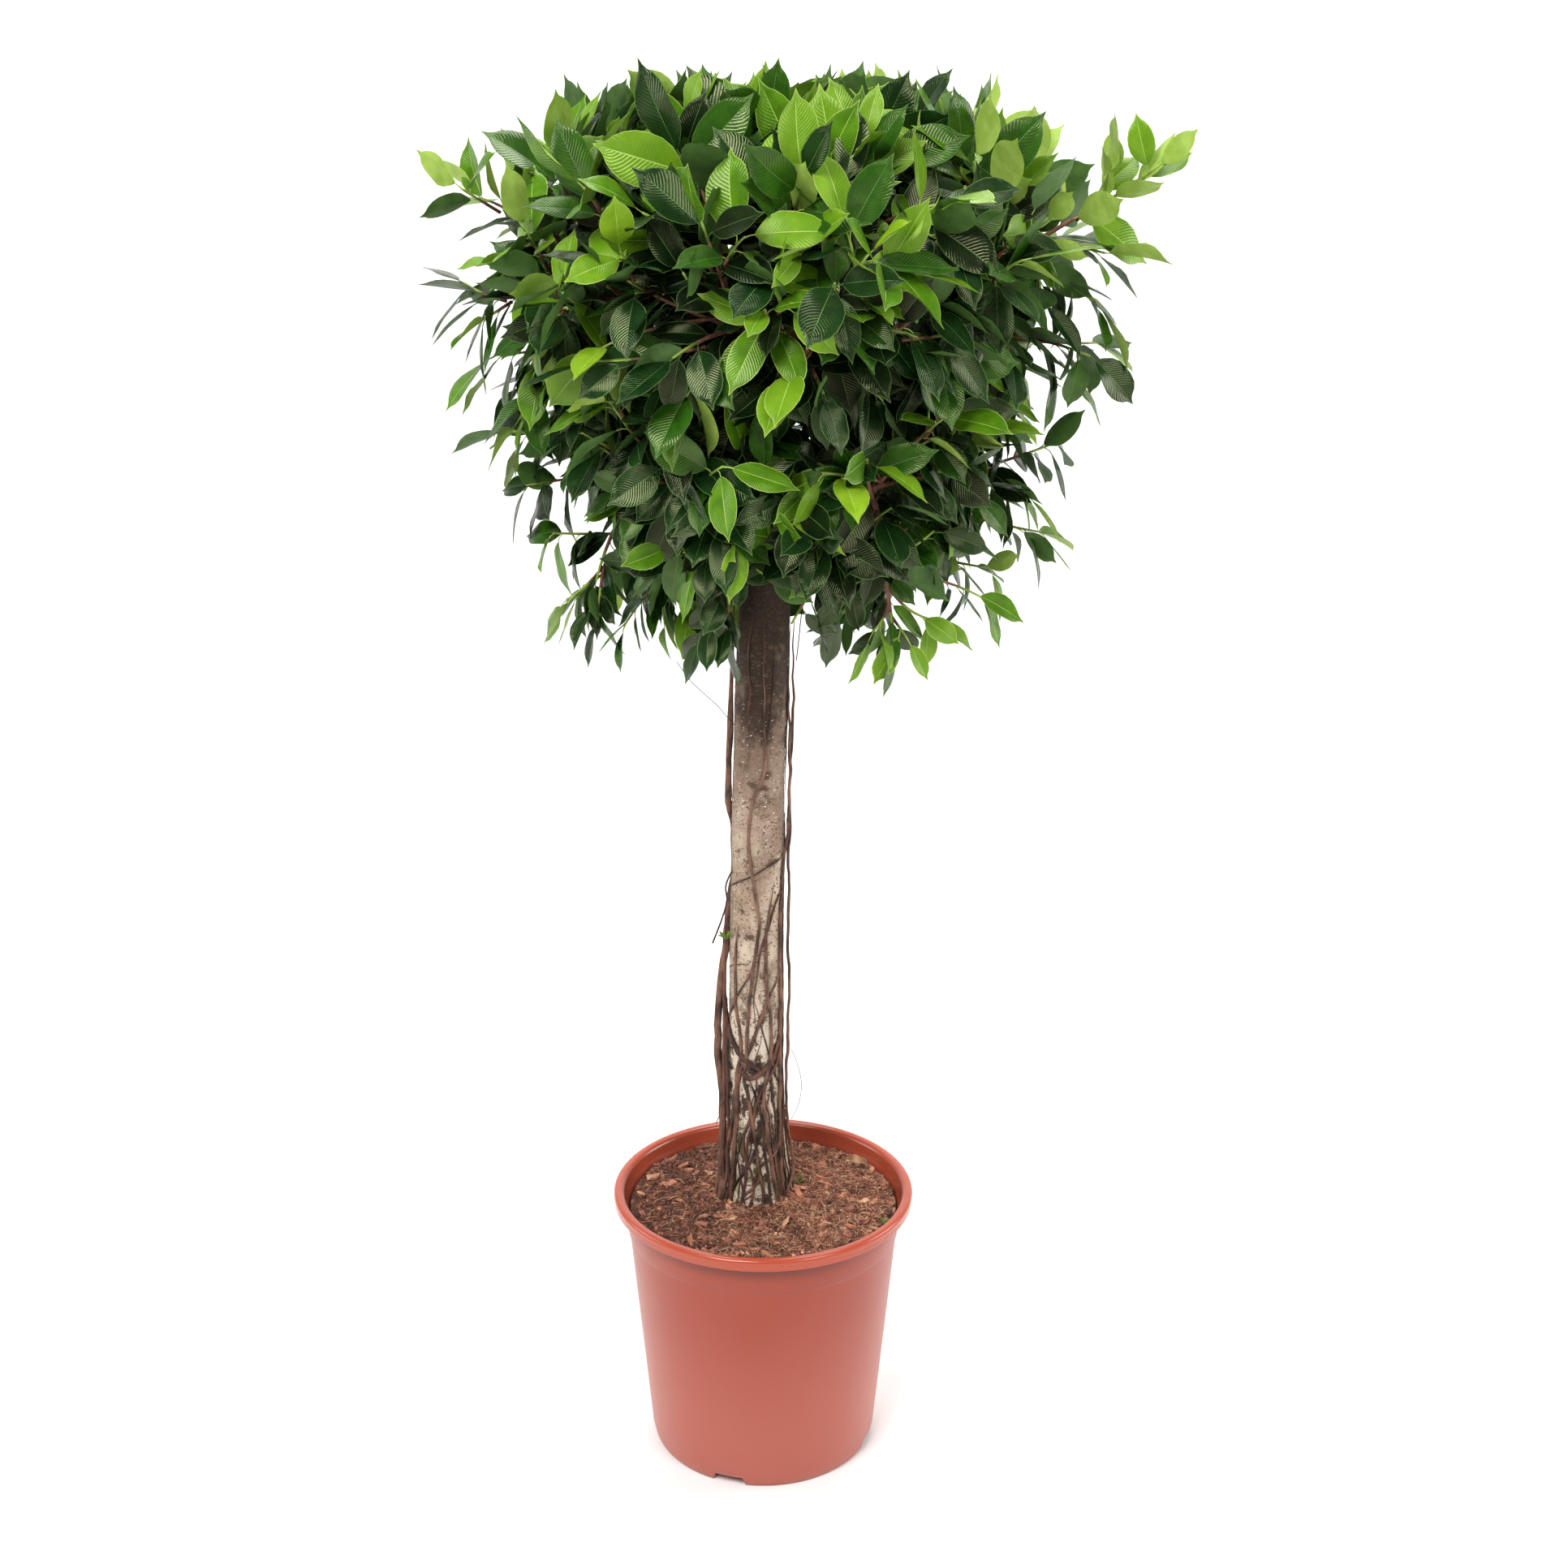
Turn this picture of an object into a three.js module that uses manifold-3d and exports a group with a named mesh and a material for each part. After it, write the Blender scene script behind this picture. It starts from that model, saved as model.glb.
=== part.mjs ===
// A standard fig tree, clipped to a lollipop head, in a round nursery pot.
// Millimetres, +Z up. The origin is the middle of the pot's flat underside, and -Y is the front.
// One Group of named meshes: pot, soil, trunk, boughs, aerial roots and masses of foliage.
import * as THREE from 'three';
import { mergeVertices } from 'three/addons/utils/BufferGeometryUtils.js';
import Module from 'manifold-3d';

const wasm = await Module();
wasm.setup();

// Driving dimensions
const CLEARANCE = 0.3; // air between two pieces that rest on each other

const POT = {
  height: 276.5,
  rimRadius: 150, // outside of the rolled lip
  mouthRadius: 139, // inside of the lip
  lipHeight: 12,
  shoulderHeight: 233, // faint step below the lip
  shoulderRadius: 136,
  footRadius: 112,
  wall: 2.2,
  footHeight: 9, // the base is raised by this much between its feet
  centreFootRadius: 58,
  notches: 4,
  notchAngle: 16, // degrees
  firstNotch: 252, // degrees from +X, the notch that shows at the front
  holes: 8,
  holeRadius: 5,
  segments: 36,
};

const SOIL = {
  top: 264, // flat round the trunk
  flatRadius: 62,
  edgeDrop: 5,
  unevenness: 1.6,
};

const TRUNK = {
  foot: new THREE.Vector2(-8, 12), // stands a little left of and behind the middle
  top: new THREE.Vector2(4.5, 6),
  lean: 2.6, // power of the height: upright for most of its run, then leaning right
  sway: 4, // how far it bows back, half way up
  forkHeight: 962,
  footFlare: 9, // added to the radius at the soil, and gone by flareHeight
  flareHeight: 120,
  footStemRadius: 27,
  topRadius: 23.5,
  lobes: 7,
  sides: 16,
  rings: 16,
};

const ROOTS = { sides: 5, ringStep: 30, gap: 1.8, endTaper: 0.7 };
// Aerial roots that run down the trunk. A course goes up from the soil: [height, degrees from +X].
// A bowed root stands further off the bark, by bow at most, between the two heights of its span.
const ROOT_RUNS = [
  {
    radius: 3.6, bow: 9, span: [340, 560],
    course: [
      [264, 200], [330, 184], [420, 180], [530, 175], [575, 158], [615, 150], [650, 154], [692, 177],
      [780, 181], [872, 187],
    ],
  },
  {
    radius: 2.3,
    course: [
      [264, 208], [320, 213], [350, 221], [400, 230], [437, 239], [480, 227], [520, 221], [560, 229],
    ],
  },
  {
    radius: 2.3,
    course: [
      [264, 283], [310, 273], [338, 265], [374, 254], [420, 252], [480, 256], [520, 262], [556, 265],
      [609, 246], [646, 232], [669, 232], [700, 250], [727, 266], [780, 262], [868, 268],
    ],
  },
  {
    radius: 2.8,
    course: [
      [264, 306], [302, 301], [337, 293], [382, 288], [419, 301], [455, 304], [500, 292], [545, 290],
      [604, 308],
    ],
  },
  {
    radius: 2.5,
    course: [
      [264, 328], [340, 324], [400, 331], [481, 331], [525, 321], [583, 323], [685, 343], [756, 336],
      [860, 327],
    ],
  },
  {
    radius: 2.3, bow: 5, span: [330, 850],
    course: [
      [264, -20], [297, -3], [352, -3], [420, 4], [522, -1], [600, 5], [663, 2], [783, -1], [866, 4],
    ],
  },
  { radius: 2.6, course: [[264, 54], [330, 60], [410, 52], [500, 49], [580, 58], [640, 63], [700, 57]] },
  { radius: 2.4, course: [[264, 98], [350, 91], [430, 97], [540, 106], [620, 99], [720, 92], [850, 101]] },
  { radius: 2.8, course: [[264, 141], [340, 135], [420, 141], [500, 149], [560, 143], [620, 138]] },
];

const CROWN = {
  centre: new THREE.Vector2(19, 4), // of the head, off the pot's axis
  focusHeight: 1030, // leaves face away from here
  // [height, radius] of the surface that the twigs reach; the leaves stand out of it
  outline: [
    [862, 50], [880, 88], [905, 116], [950, 148], [1000, 176], [1060, 201],
    [1120, 220], [1180, 232], [1225, 234], [1258, 212], [1282, 165], [1298, 95], [1302, 0],
  ],
  tips: 110,
  lowPart: 1060, // below this the shoots stand closer together
  lowCrowding: 1.7,
  floor: 786,
  ceiling: 1350,
};

const LEAF = {
  length: 92,
  width: 46,
  shoulders: [[0.36, 1], [0.73, 0.76]], // [share of the length, share of the width] of the blade's corners
  keel: 2.2, // depth of the rib under the blade, half way along
  fold: 0.05, // how far the edges stand over the rib, as a share of half the width
  arch: 0.16, // how far the tip hangs, as a share of the length
  attempts: 14,
};
// A mass forks twice: its stem into limbs, each limb into up to three side shoots.
const TWIG = {
  limbRadius: 6.4,
  sideRadius: 3.6,
  tipRadius: 2.9,
  forks: [0.34, 0.42, 0.5], // shares of the way along a limb where its side shoots leave
  leaves: [3, 12, 23, 36, 52], // where leaves sit on a shoot, in mm back from its tip
};
const CORE = { share: 0.5, unevenness: 0.25 };
const BOUGH = { rootRadius: 7.6, tipRadius: 4.8, bow: 0.1, sides: 6, rings: 3 };

// Rings of masses, each mass on its own bough: how many, where their centres are, where the boughs leave the
// trunk and the share of the way to the centre that each bough goes.
const MASS_RINGS = [
  { name: 'lower', count: 5, turn: 18, distance: 132, height: 984, leave: 893, boughReach: 0.55 },
  { name: 'upper', count: 4, turn: 0, distance: 136, height: 1146, leave: 928, boughReach: 0.62 },
];
const TOP_MASS = { height: 1206, leave: TRUNK.forkHeight - 4, boughReach: 0.62 };

// Shoots that outgrew the clipped outline: degrees from +X, and the height and distance from the head's axis
// of their tips
const LONG_SHOOTS = [
  { azimuth: 2, height: 1246, distance: 306 },
  { azimuth: 350, height: 1106, distance: 270 },
  { azimuth: 176, height: 1236, distance: 270 },
  { azimuth: 188, height: 1152, distance: 268 },
  { azimuth: 168, height: 1070, distance: 246 },
  { azimuth: 196, height: 906, distance: 176 },
  { azimuth: 318, height: 856, distance: 132 },
  { azimuth: 92, height: 1240, distance: 268 },
  { azimuth: 66, height: 1010, distance: 240 },
];

const COLOURS = {
  pot: 0xb5553d, soil: 0x5a3a28, trunk: 0x9d8c78, root: 0x5d4234,
  bough: 0x6b5140, foliageLow: 0x1f4a1c, foliageHigh: 0x3f7d22, foliageTop: 0x5a9a2a,
};

// Small helpers
const up = new THREE.Vector3(0, 0, 1);
const degrees = THREE.MathUtils.degToRad;
const lerp = THREE.MathUtils.lerp;

function seededRandom(seed) {
  let state = seed >>> 0;
  return () => {
    state = (state + 0x6d2b79f5) >>> 0;
    let t = state;
    t = Math.imul(t ^ (t >>> 15), t | 1);
    t ^= t + Math.imul(t ^ (t >>> 7), t | 61);
    return ((t ^ (t >>> 14)) >>> 0) / 4294967296;
  };
}

function onCircle(azimuth, distance, height, centre = new THREE.Vector2()) {
  const a = degrees(azimuth);
  return new THREE.Vector3(centre.x + distance * Math.cos(a), centre.y + distance * Math.sin(a), height);
}

// Straight lines between [height, value] pairs.
function along(table, height) {
  const last = table[table.length - 1];
  if (height <= table[0][0]) return table[0][1];
  if (height >= last[0]) return last[1];
  const i = table.findIndex(([h]) => h > height);
  const [h0, v0] = table[i - 1];
  const [h1, v1] = table[i];
  return lerp(v0, v1, (height - h0) / (h1 - h0));
}

function solid(geometry) {
  const bare = geometry.clone();
  bare.deleteAttribute('normal');
  bare.deleteAttribute('uv');
  const merged = mergeVertices(bare, 1e-3);
  return new wasm.Manifold(new wasm.Mesh({
    numProp: 3,
    vertProperties: new Float32Array(merged.attributes.position.array),
    triVerts: new Uint32Array(merged.index.array),
  }));
}

function geometryOf(manifold) {
  const mesh = manifold.getMesh();
  const geometry = new THREE.BufferGeometry();
  const positions = new Float32Array(mesh.numVert * 3);
  for (let i = 0; i < mesh.numVert; i++) {
    positions.set(mesh.vertProperties.subarray(i * mesh.numProp, i * mesh.numProp + 3), i * 3);
  }
  geometry.setAttribute('position', new THREE.BufferAttribute(positions, 3));
  geometry.setIndex(new THREE.BufferAttribute(new Uint32Array(mesh.triVerts), 1));
  return geometry;
}

// The largest closed body: this drops loose scraps, and fills a hollow that fusing sealed.
function mainBody(manifold) {
  return manifold.decompose().sort((a, b) => b.volume() - a.volume())[0];
}

// Without the slivers that fusing leaves, and with corners that lie together made one.
function settled(manifold) {
  return mainBody(solid(geometryOf(mainBody(manifold).simplify(0.05))));
}

function meshOf(name, geometry, colour, roughness) {
  geometry.computeVertexNormals();
  const material = new THREE.MeshStandardMaterial({ color: colour, roughness, metalness: 0 });
  const mesh = new THREE.Mesh(geometry, material);
  mesh.name = name;
  return mesh;
}

// A closed skin over rings of points, each ring the same length, with flat ends.
function skinned(rings) {
  const sides = rings[0].length;
  const points = rings.flat();
  const index = [];
  for (let r = 0; r + 1 < rings.length; r++) {
    for (let s = 0; s < sides; s++) {
      const a = r * sides + s;
      const b = r * sides + ((s + 1) % sides);
      index.push(a, b, b + sides, a, b + sides, a + sides);
    }
  }
  const last = (rings.length - 1) * sides;
  for (let s = 1; s + 1 < sides; s++) {
    index.push(0, s + 1, s, last, last + s, last + s + 1);
  }
  const geometry = new THREE.BufferGeometry().setFromPoints(points);
  geometry.setIndex(index);
  return geometry;
}

// A tapering limb along a curve, round or three-sided.
function limb(curve, radiusAt, sides, rings) {
  const frames = curve.computeFrenetFrames(rings, false);
  return skinned(Array.from({ length: rings + 1 }, (_, i) => {
    const t = i / rings;
    const centre = curve.getPointAt(t);
    return Array.from({ length: sides }, (_, s) => {
      const a = (2 * Math.PI * s) / sides;
      return centre.clone()
        .addScaledVector(frames.normals[i], radiusAt(t) * Math.cos(a))
        .addScaledVector(frames.binormals[i], radiusAt(t) * Math.sin(a));
    });
  }));
}

// Pot: a thin shell on a centre foot and an outer foot ring, which four notches interrupt
const WALL_LINE = [
  [14, 114.5], [POT.shoulderHeight - 2, 134.6], [POT.shoulderHeight, POT.shoulderRadius], [266, 138],
];

function outsideRadius(height) {
  return along(WALL_LINE, height);
}

function potProfile(withFoot) {
  const { wall, footHeight, footRadius, height, rimRadius, mouthRadius, lipHeight } = POT;
  const centre = POT.centreFootRadius;
  const foot = withFoot
    ? {
      outside: [[footRadius - 16, footHeight], [footRadius - 11, 0], [footRadius - 4, 0], [footRadius, 3]],
      inside: [[footRadius - 4, wall + 1], [footRadius - 10, wall], [footRadius - 14.5, footHeight + wall]],
    }
    : {
      outside: [[footRadius + 1, footHeight]],
      inside: [[footRadius - 1.5, footHeight + wall]],
    };
  const neck = height - lipHeight - 1;
  return [
    [0, 0], [centre, 0], [centre + 6, footHeight], ...foot.outside,
    [outsideRadius(14), 14],
    [outsideRadius(POT.shoulderHeight - 2), POT.shoulderHeight - 2],
    [POT.shoulderRadius, POT.shoulderHeight],
    [outsideRadius(neck), neck],
    [rimRadius - 2.5, height - lipHeight], [rimRadius, height - lipHeight + 2.5],
    [rimRadius, height - 3], [rimRadius - 3, height],
    [mouthRadius + 2.5, height], [mouthRadius, height - 2.5],
    [outsideRadius(neck) - wall, neck - 4],
    [outsideRadius(POT.shoulderHeight - 2) - wall, POT.shoulderHeight - 2],
    [outsideRadius(14) - wall, 14],
    ...foot.inside,
    [centre + 5, footHeight + wall], [centre - 1, wall], [0, wall],
  ];
}

function lathed(profile, segments = POT.segments) {
  // LatheGeometry turns about Y; a quarter turn stands it on Z.
  const geometry = new THREE.LatheGeometry(profile.map(([r, h]) => new THREE.Vector2(r, h)), segments);
  geometry.rotateX(Math.PI / 2);
  return geometry;
}

function potSolid() {
  const step = 360 / POT.notches;
  const angles = Array.from({ length: POT.notches }, (_, i) => POT.firstNotch + step * i);
  const wedge = (azimuth) => {
    const width = 2 * POT.footRadius * Math.tan(degrees(POT.notchAngle / 2));
    const box = new THREE.BoxGeometry(34, width, 2 * POT.footHeight + 8);
    box.translate(POT.footRadius - 3, 0, 3);
    box.rotateZ(degrees(azimuth));
    return solid(box);
  };
  const wedges = wasm.Manifold.union(angles.map(wedge));
  const footed = solid(lathed(potProfile(true)));
  const bridged = solid(lathed(potProfile(false)));
  const shell = footed.subtract(wedges).add(bridged.intersect(wedges));
  const drills = Array.from({ length: POT.holes }, (_, i) => {
    const drill = new THREE.CylinderGeometry(POT.holeRadius, POT.holeRadius, 4 * POT.wall, 8);
    drill.rotateX(Math.PI / 2);
    const place = onCircle(POT.firstNotch + (360 / POT.holes) * (i + 0.5), 80, POT.footHeight + POT.wall / 2);
    drill.translate(place.x, place.y, place.z);
    return solid(drill);
  });
  return mainBody(shell.subtract(wasm.Manifold.union(drills)));
}

// Soil: fills the pot from its floor to a low uneven mound
function soilGeometry() {
  const rnd = seededRandom(41);
  const gap = POT.wall + CLEARANCE + 0.1;
  const bottom = POT.footHeight + POT.wall + CLEARANCE;
  const edge = SOIL.top - SOIL.edgeDrop;
  const rings = [
    [POT.footRadius - 2, bottom], [outsideRadius(16) - gap, 16],
    [outsideRadius(POT.shoulderHeight - 3) - gap, POT.shoulderHeight - 3],
    [outsideRadius(edge - 2) - gap - 0.4, edge - 2],
    [outsideRadius(edge) - gap - 4, edge],
    [100, edge + 2.5], [80, SOIL.top - 1.5], [SOIL.flatRadius, SOIL.top],
  ].map(([radius, height], level) => Array.from({ length: POT.segments }, (_, i) => {
    const loose = level === 5 || level === 6;
    const lift = loose ? (rnd() - 0.5) * 2 * SOIL.unevenness : 0;
    const a = (2 * Math.PI * i) / POT.segments;
    return new THREE.Vector3(radius * Math.sin(a), -radius * Math.cos(a), height + lift);
  }));
  return skinned(rings);
}

// Trunk: a slightly swaying stem with a lobed root flare, cut flat at the soil
function trunkCentre(height) {
  const t = Math.max(height - SOIL.top, 0) / (TRUNK.forkHeight - SOIL.top);
  return new THREE.Vector3(
    lerp(TRUNK.foot.x, TRUNK.top.x, Math.pow(t, TRUNK.lean)),
    lerp(TRUNK.foot.y, TRUNK.top.y, t) + TRUNK.sway * Math.sin(Math.PI * t),
    height,
  );
}

function trunkRadius(height, azimuth) {
  const t = THREE.MathUtils.clamp((height - SOIL.top) / (TRUNK.forkHeight - SOIL.top), 0, 1);
  const stem = lerp(TRUNK.footStemRadius, TRUNK.topRadius, Math.pow(t, 0.7));
  const flare = Math.exp(-(height - SOIL.top) / (TRUNK.flareHeight / 2.6));
  const lobe = 1 + 0.35 * Math.cos(TRUNK.lobes * azimuth + 0.6);
  return stem + TRUNK.footFlare * flare * lobe;
}

function trunkGeometry(extra = 0) {
  const bottom = SOIL.top + CLEARANCE;
  const rings = Array.from({ length: TRUNK.rings + 1 }, (_, i) => {
    const height = lerp(bottom, TRUNK.forkHeight + extra, Math.pow(i / TRUNK.rings, 1.35));
    const centre = trunkCentre(height);
    return Array.from({ length: TRUNK.sides }, (_, s) => {
      const a = (2 * Math.PI * s) / TRUNK.sides;
      const r = trunkRadius(height, a) + extra;
      return centre.clone().add(new THREE.Vector3(r * Math.cos(a), r * Math.sin(a), 0));
    });
  });
  return skinned(rings);
}

// Aerial roots: each hangs down the trunk, a hair off the bark, and stands on the soil
function rootCentre({ course, radius, bow = 0, span = [0, 1] }, height) {
  const a = degrees(along(course, height));
  const share = THREE.MathUtils.clamp((height - span[0]) / (span[1] - span[0]), 0, 1);
  const standOff = bow * Math.sin(Math.PI * share) ** 2;
  const out = trunkRadius(height, a) + radius + ROOTS.gap + standOff;
  return trunkCentre(height).add(new THREE.Vector3(out * Math.cos(a), out * Math.sin(a), 0));
}

function rootGeometry(run) {
  const bottom = SOIL.top + CLEARANCE;
  const top = run.course[run.course.length - 1][0];
  const steps = Math.round((top - bottom) / ROOTS.ringStep);
  return skinned(Array.from({ length: steps + 1 }, (_, i) => {
    const centre = rootCentre(run, lerp(bottom, top, i / steps));
    const r = run.radius * lerp(1, ROOTS.endTaper, i / steps);
    return Array.from({ length: ROOTS.sides }, (_, s) => {
      const a = (2 * Math.PI * s) / ROOTS.sides;
      return centre.clone().add(new THREE.Vector3(r * Math.cos(a), r * Math.sin(a), 0));
    });
  }));
}

// Crown: boughs from the fork, each carrying one mass of foliage
function crownAxis(height) {
  return new THREE.Vector3(CROWN.centre.x, CROWN.centre.y, height);
}

function massPlans() {
  const plans = MASS_RINGS.flatMap((ring) => Array.from({ length: ring.count }, (_, i) => {
    const azimuth = ring.turn + (360 / ring.count) * i;
    const centre = onCircle(azimuth, ring.distance, ring.height, CROWN.centre);
    return { ...ring, name: `foliage_${ring.name}_${i + 1}`, bough: `bough_${ring.name}_${i + 1}`, centre };
  }));
  const centre = crownAxis(TOP_MASS.height);
  plans.push({ ...TOP_MASS, name: 'foliage_top', bough: 'leader', centre });
  return plans;
}

function boughCurve({ bough, leave, centre, boughReach }) {
  const start = trunkCentre(leave);
  const end = start.clone().lerp(centre, boughReach);
  const bend = start.clone().lerp(end, 0.5);
  bend.z += bough === 'leader' ? 0 : BOUGH.bow * start.distanceTo(end);
  return new THREE.QuadraticBezierCurve3(start, bend, end);
}

// The mass's own stem carries on from the bough's tip, a hair off it and square to it.
function stemCurve(plan) {
  const bough = boughCurve(plan);
  const way = bough.getTangentAt(1);
  const start = bough.getPointAt(1).addScaledVector(way, CLEARANCE);
  const bend = start.clone().addScaledVector(way, start.distanceTo(plan.centre) / 2);
  return new THREE.QuadraticBezierCurve3(start, bend, plan.centre);
}

function boughSolid(plan, extra = 0) {
  const radius = (t) => lerp(BOUGH.rootRadius, BOUGH.tipRadius, t) + extra;
  return solid(limb(boughCurve(plan), radius, BOUGH.sides, BOUGH.rings));
}

// A point's distance from the plane halfway to each other mass: how deep it is in its own mass's space.
function depthInSpace(point, plan, plans) {
  return Math.min(...plans.filter((other) => other !== plan).map((other) => {
    const span = other.centre.distanceTo(plan.centre);
    return (point.distanceToSquared(other.centre) - point.distanceToSquared(plan.centre)) / (2 * span);
  }));
}

// Twig tips spread evenly over the head: [azimuth, distance, height] by a golden spiral down its outline.
function surfaceTips(count) {
  const outline = CROWN.outline;
  const bands = outline.slice(1).map(([h1, r1], i) => {
    const [h0, r0] = outline[i];
    const crowding = h1 <= CROWN.lowPart ? CROWN.lowCrowding : 1;
    return { h0, h1, r0, r1, area: crowding * (r0 + r1) * Math.hypot(h1 - h0, r1 - r0) };
  });
  const whole = bands.reduce((sum, band) => sum + band.area, 0);
  return Array.from({ length: count }, (_, i) => {
    let left = (whole * (i + 0.5)) / count;
    const band = bands.find(({ area }) => (left -= area) < 0) ?? bands[bands.length - 1];
    const t = THREE.MathUtils.clamp(1 + left / band.area, 0, 1);
    return { azimuth: 137.508 * i, distance: lerp(band.r0, band.r1, t), height: lerp(band.h0, band.h1, t) };
  });
}

// A leaf: a pointed oval blade of ten faces, with a keel for its rib, arched towards its tip.
function leafSolid(base, direction, face, length, width) {
  const side = new THREE.Vector3().crossVectors(direction, face).normalize();
  const normal = new THREE.Vector3().crossVectors(side, direction).normalize();
  const rib = (t) => base.clone().addScaledVector(direction, t * length)
    .addScaledVector(normal, -LEAF.arch * length * t * t);
  const edge = (at, half) => rib(at).addScaledVector(side, half)
    .addScaledVector(normal, LEAF.fold * Math.abs(half));
  const corners = LEAF.shoulders.flatMap(([at, breadth]) => [
    edge(at, breadth * width / 2),
    edge(at, -breadth * width / 2),
  ]);
  const keel = rib(0.5).addScaledVector(normal, -LEAF.keel);
  const points = [base, ...corners, rib(1), keel];
  const [root, right, left, rightTop, leftTop, tip, under] = points.keys();
  const round = [root, right, rightTop, tip, leftTop, left];
  const upper = [root, right, left, left, right, rightTop, left, rightTop, leftTop, leftTop, rightTop, tip];
  const lower = round.flatMap((corner, i) => [under, round[(i + 1) % round.length], corner]);
  const geometry = new THREE.BufferGeometry().setFromPoints(points);
  geometry.setIndex([...upper, ...lower]);
  return { made: solid(geometry), outermost: [...corners, rib(1), keel] };
}

// The k-th leaf of a twig: round the twig by the golden angle, hanging low in the head and rising at its top.
// Where closer is near 1 the leaf lies along the twig.
function leafPose(place, twigDirection, k, turn, closer) {
  const across = new THREE.Vector3().crossVectors(twigDirection, up).normalize();
  const over = new THREE.Vector3().crossVectors(across, twigDirection).normalize();
  const round = degrees(137.508 * k + turn);
  const open = degrees((k === 0 ? 14 : 60) * (1 - closer));
  const rise = THREE.MathUtils.clamp((place.z - 1160) / 130, 0, 1);
  const hang = THREE.MathUtils.clamp((1100 - place.z) / 200, 0, 1);
  const direction = twigDirection.clone().multiplyScalar(Math.cos(open))
    .addScaledVector(across, Math.cos(round) * Math.sin(open))
    .addScaledVector(over, Math.sin(round) * Math.sin(open))
    .addScaledVector(up, (lerp(-0.4, 0.3, rise) - 0.45 * hang) * lerp(1, -1, closer))
    .normalize();
  const outward = place.clone().sub(crownAxis(CROWN.focusHeight)).normalize();
  return { direction, face: outward.addScaledVector(up, 0.7).normalize() };
}

function boxesMeet(a, b) {
  return [0, 1, 2].every((i) => a.min[i] <= b.max[i] && b.min[i] <= a.max[i]);
}

// Pieces already in place. A new one is turned away where it would cross one of them.
class Taken {
  constructor(pieces) {
    this.pieces = [];
    pieces.forEach((piece) => this.add(piece));
  }

  add(piece) {
    this.pieces.push({ piece, box: piece.boundingBox() });
  }

  crosses(candidate, except = []) {
    const box = candidate.boundingBox();
    return this.pieces.some(({ piece, box: other }) => !except.includes(piece)
      && boxesMeet(box, other) && !piece.intersect(candidate).isEmpty());
  }
}

// The surface tips in a mass's own space, the longest shoots first.
function tipsOf(plan, plans) {
  return [...LONG_SHOOTS, ...surfaceTips(CROWN.tips)]
    .map(({ azimuth, distance, height }) => onCircle(azimuth, distance, height, CROWN.centre))
    .filter((tip) => depthInSpace(tip, plan, plans) > TWIG.sideRadius);
}

// Tips that lie together share a limb: each bunch is the first tip left and those nearest to it.
function bunches(tips) {
  const left = [...tips];
  const groups = [];
  while (left.length > 0) {
    const first = left.shift();
    left.sort((a, b) => a.distanceTo(first) - b.distanceTo(first));
    groups.push([first, ...left.splice(0, TWIG.forks.length)]);
  }
  return groups;
}

function straightLimb(from, to, rootRadius) {
  return solid(limb(new THREE.LineCurve3(from, to), (t) => lerp(rootRadius, TWIG.tipRadius, t), 3, 1));
}

// Leaves along one shoot. Each is turned on and laid closer to the twig until it crosses nothing and keeps to
// its space.
function leavesOf(shoot, room, rnd) {
  return TWIG.leaves.flatMap((fromTip, k) => {
    const place = shoot.tip.clone().addScaledVector(shoot.direction, -fromTip);
    const spun = 360 * rnd();
    const length = LEAF.length * lerp(0.85, 1.1, rnd());
    for (let attempt = 0; attempt < LEAF.attempts; attempt++) {
      const share = attempt / LEAF.attempts;
      const pose = leafPose(place, shoot.direction, k, spun + 75 * attempt, 0.6 * share);
      const size = length * (1 - 0.25 * share);
      const leaf = leafSolid(place, pose.direction, pose.face, size, LEAF.width * size / LEAF.length);
      if (!leaf.outermost.every(room.holds) || room.taken.crosses(leaf.made, [shoot.twig])) continue;
      room.taken.add(leaf.made);
      return [leaf.made];
    }
    return [];
  });
}

// The limbs of one mass with their side shoots. A piece that would cross a bough or the trunk is left out.
function shootsOf(plan, plans, obstacles) {
  const shootTo = (tip, from, radius) => {
    const direction = tip.clone().sub(from).normalize();
    return { tip, direction, twig: straightLimb(from, tip, radius) };
  };
  return bunches(tipsOf(plan, plans)).flatMap(([first, ...others]) => {
    const limbShoot = shootTo(first, plan.centre, TWIG.limbRadius);
    if (obstacles.crosses(limbShoot.twig)) return [];
    const forkAt = (i) => plan.centre.clone().lerp(first, TWIG.forks[i]);
    const sides = others.map((tip, i) => shootTo(tip, forkAt(i), TWIG.sideRadius));
    return [limbShoot, ...sides.filter(({ twig }) => !obstacles.crosses(twig))];
  });
}

// The dense inside of a mass, an uneven ball well within the mass's own space.
function coreSolid(plan, plans, rnd) {
  const others = plans.filter((other) => other !== plan);
  const halfways = others.map((other) => other.centre.distanceTo(plan.centre) / 2);
  const bare = new THREE.IcosahedronGeometry(Math.min(...halfways) * CORE.share, 1);
  const ball = mergeVertices(bare.deleteAttribute('normal').deleteAttribute('uv'));
  const corners = ball.attributes.position;
  for (let i = 0; i < corners.count; i++) {
    const corner = new THREE.Vector3().fromBufferAttribute(corners, i);
    corner.multiplyScalar(1 + CORE.unevenness * (rnd() - 0.5)).add(plan.centre);
    corners.setXYZ(i, corner.x, corner.y, corner.z);
  }
  return solid(ball);
}

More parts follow.
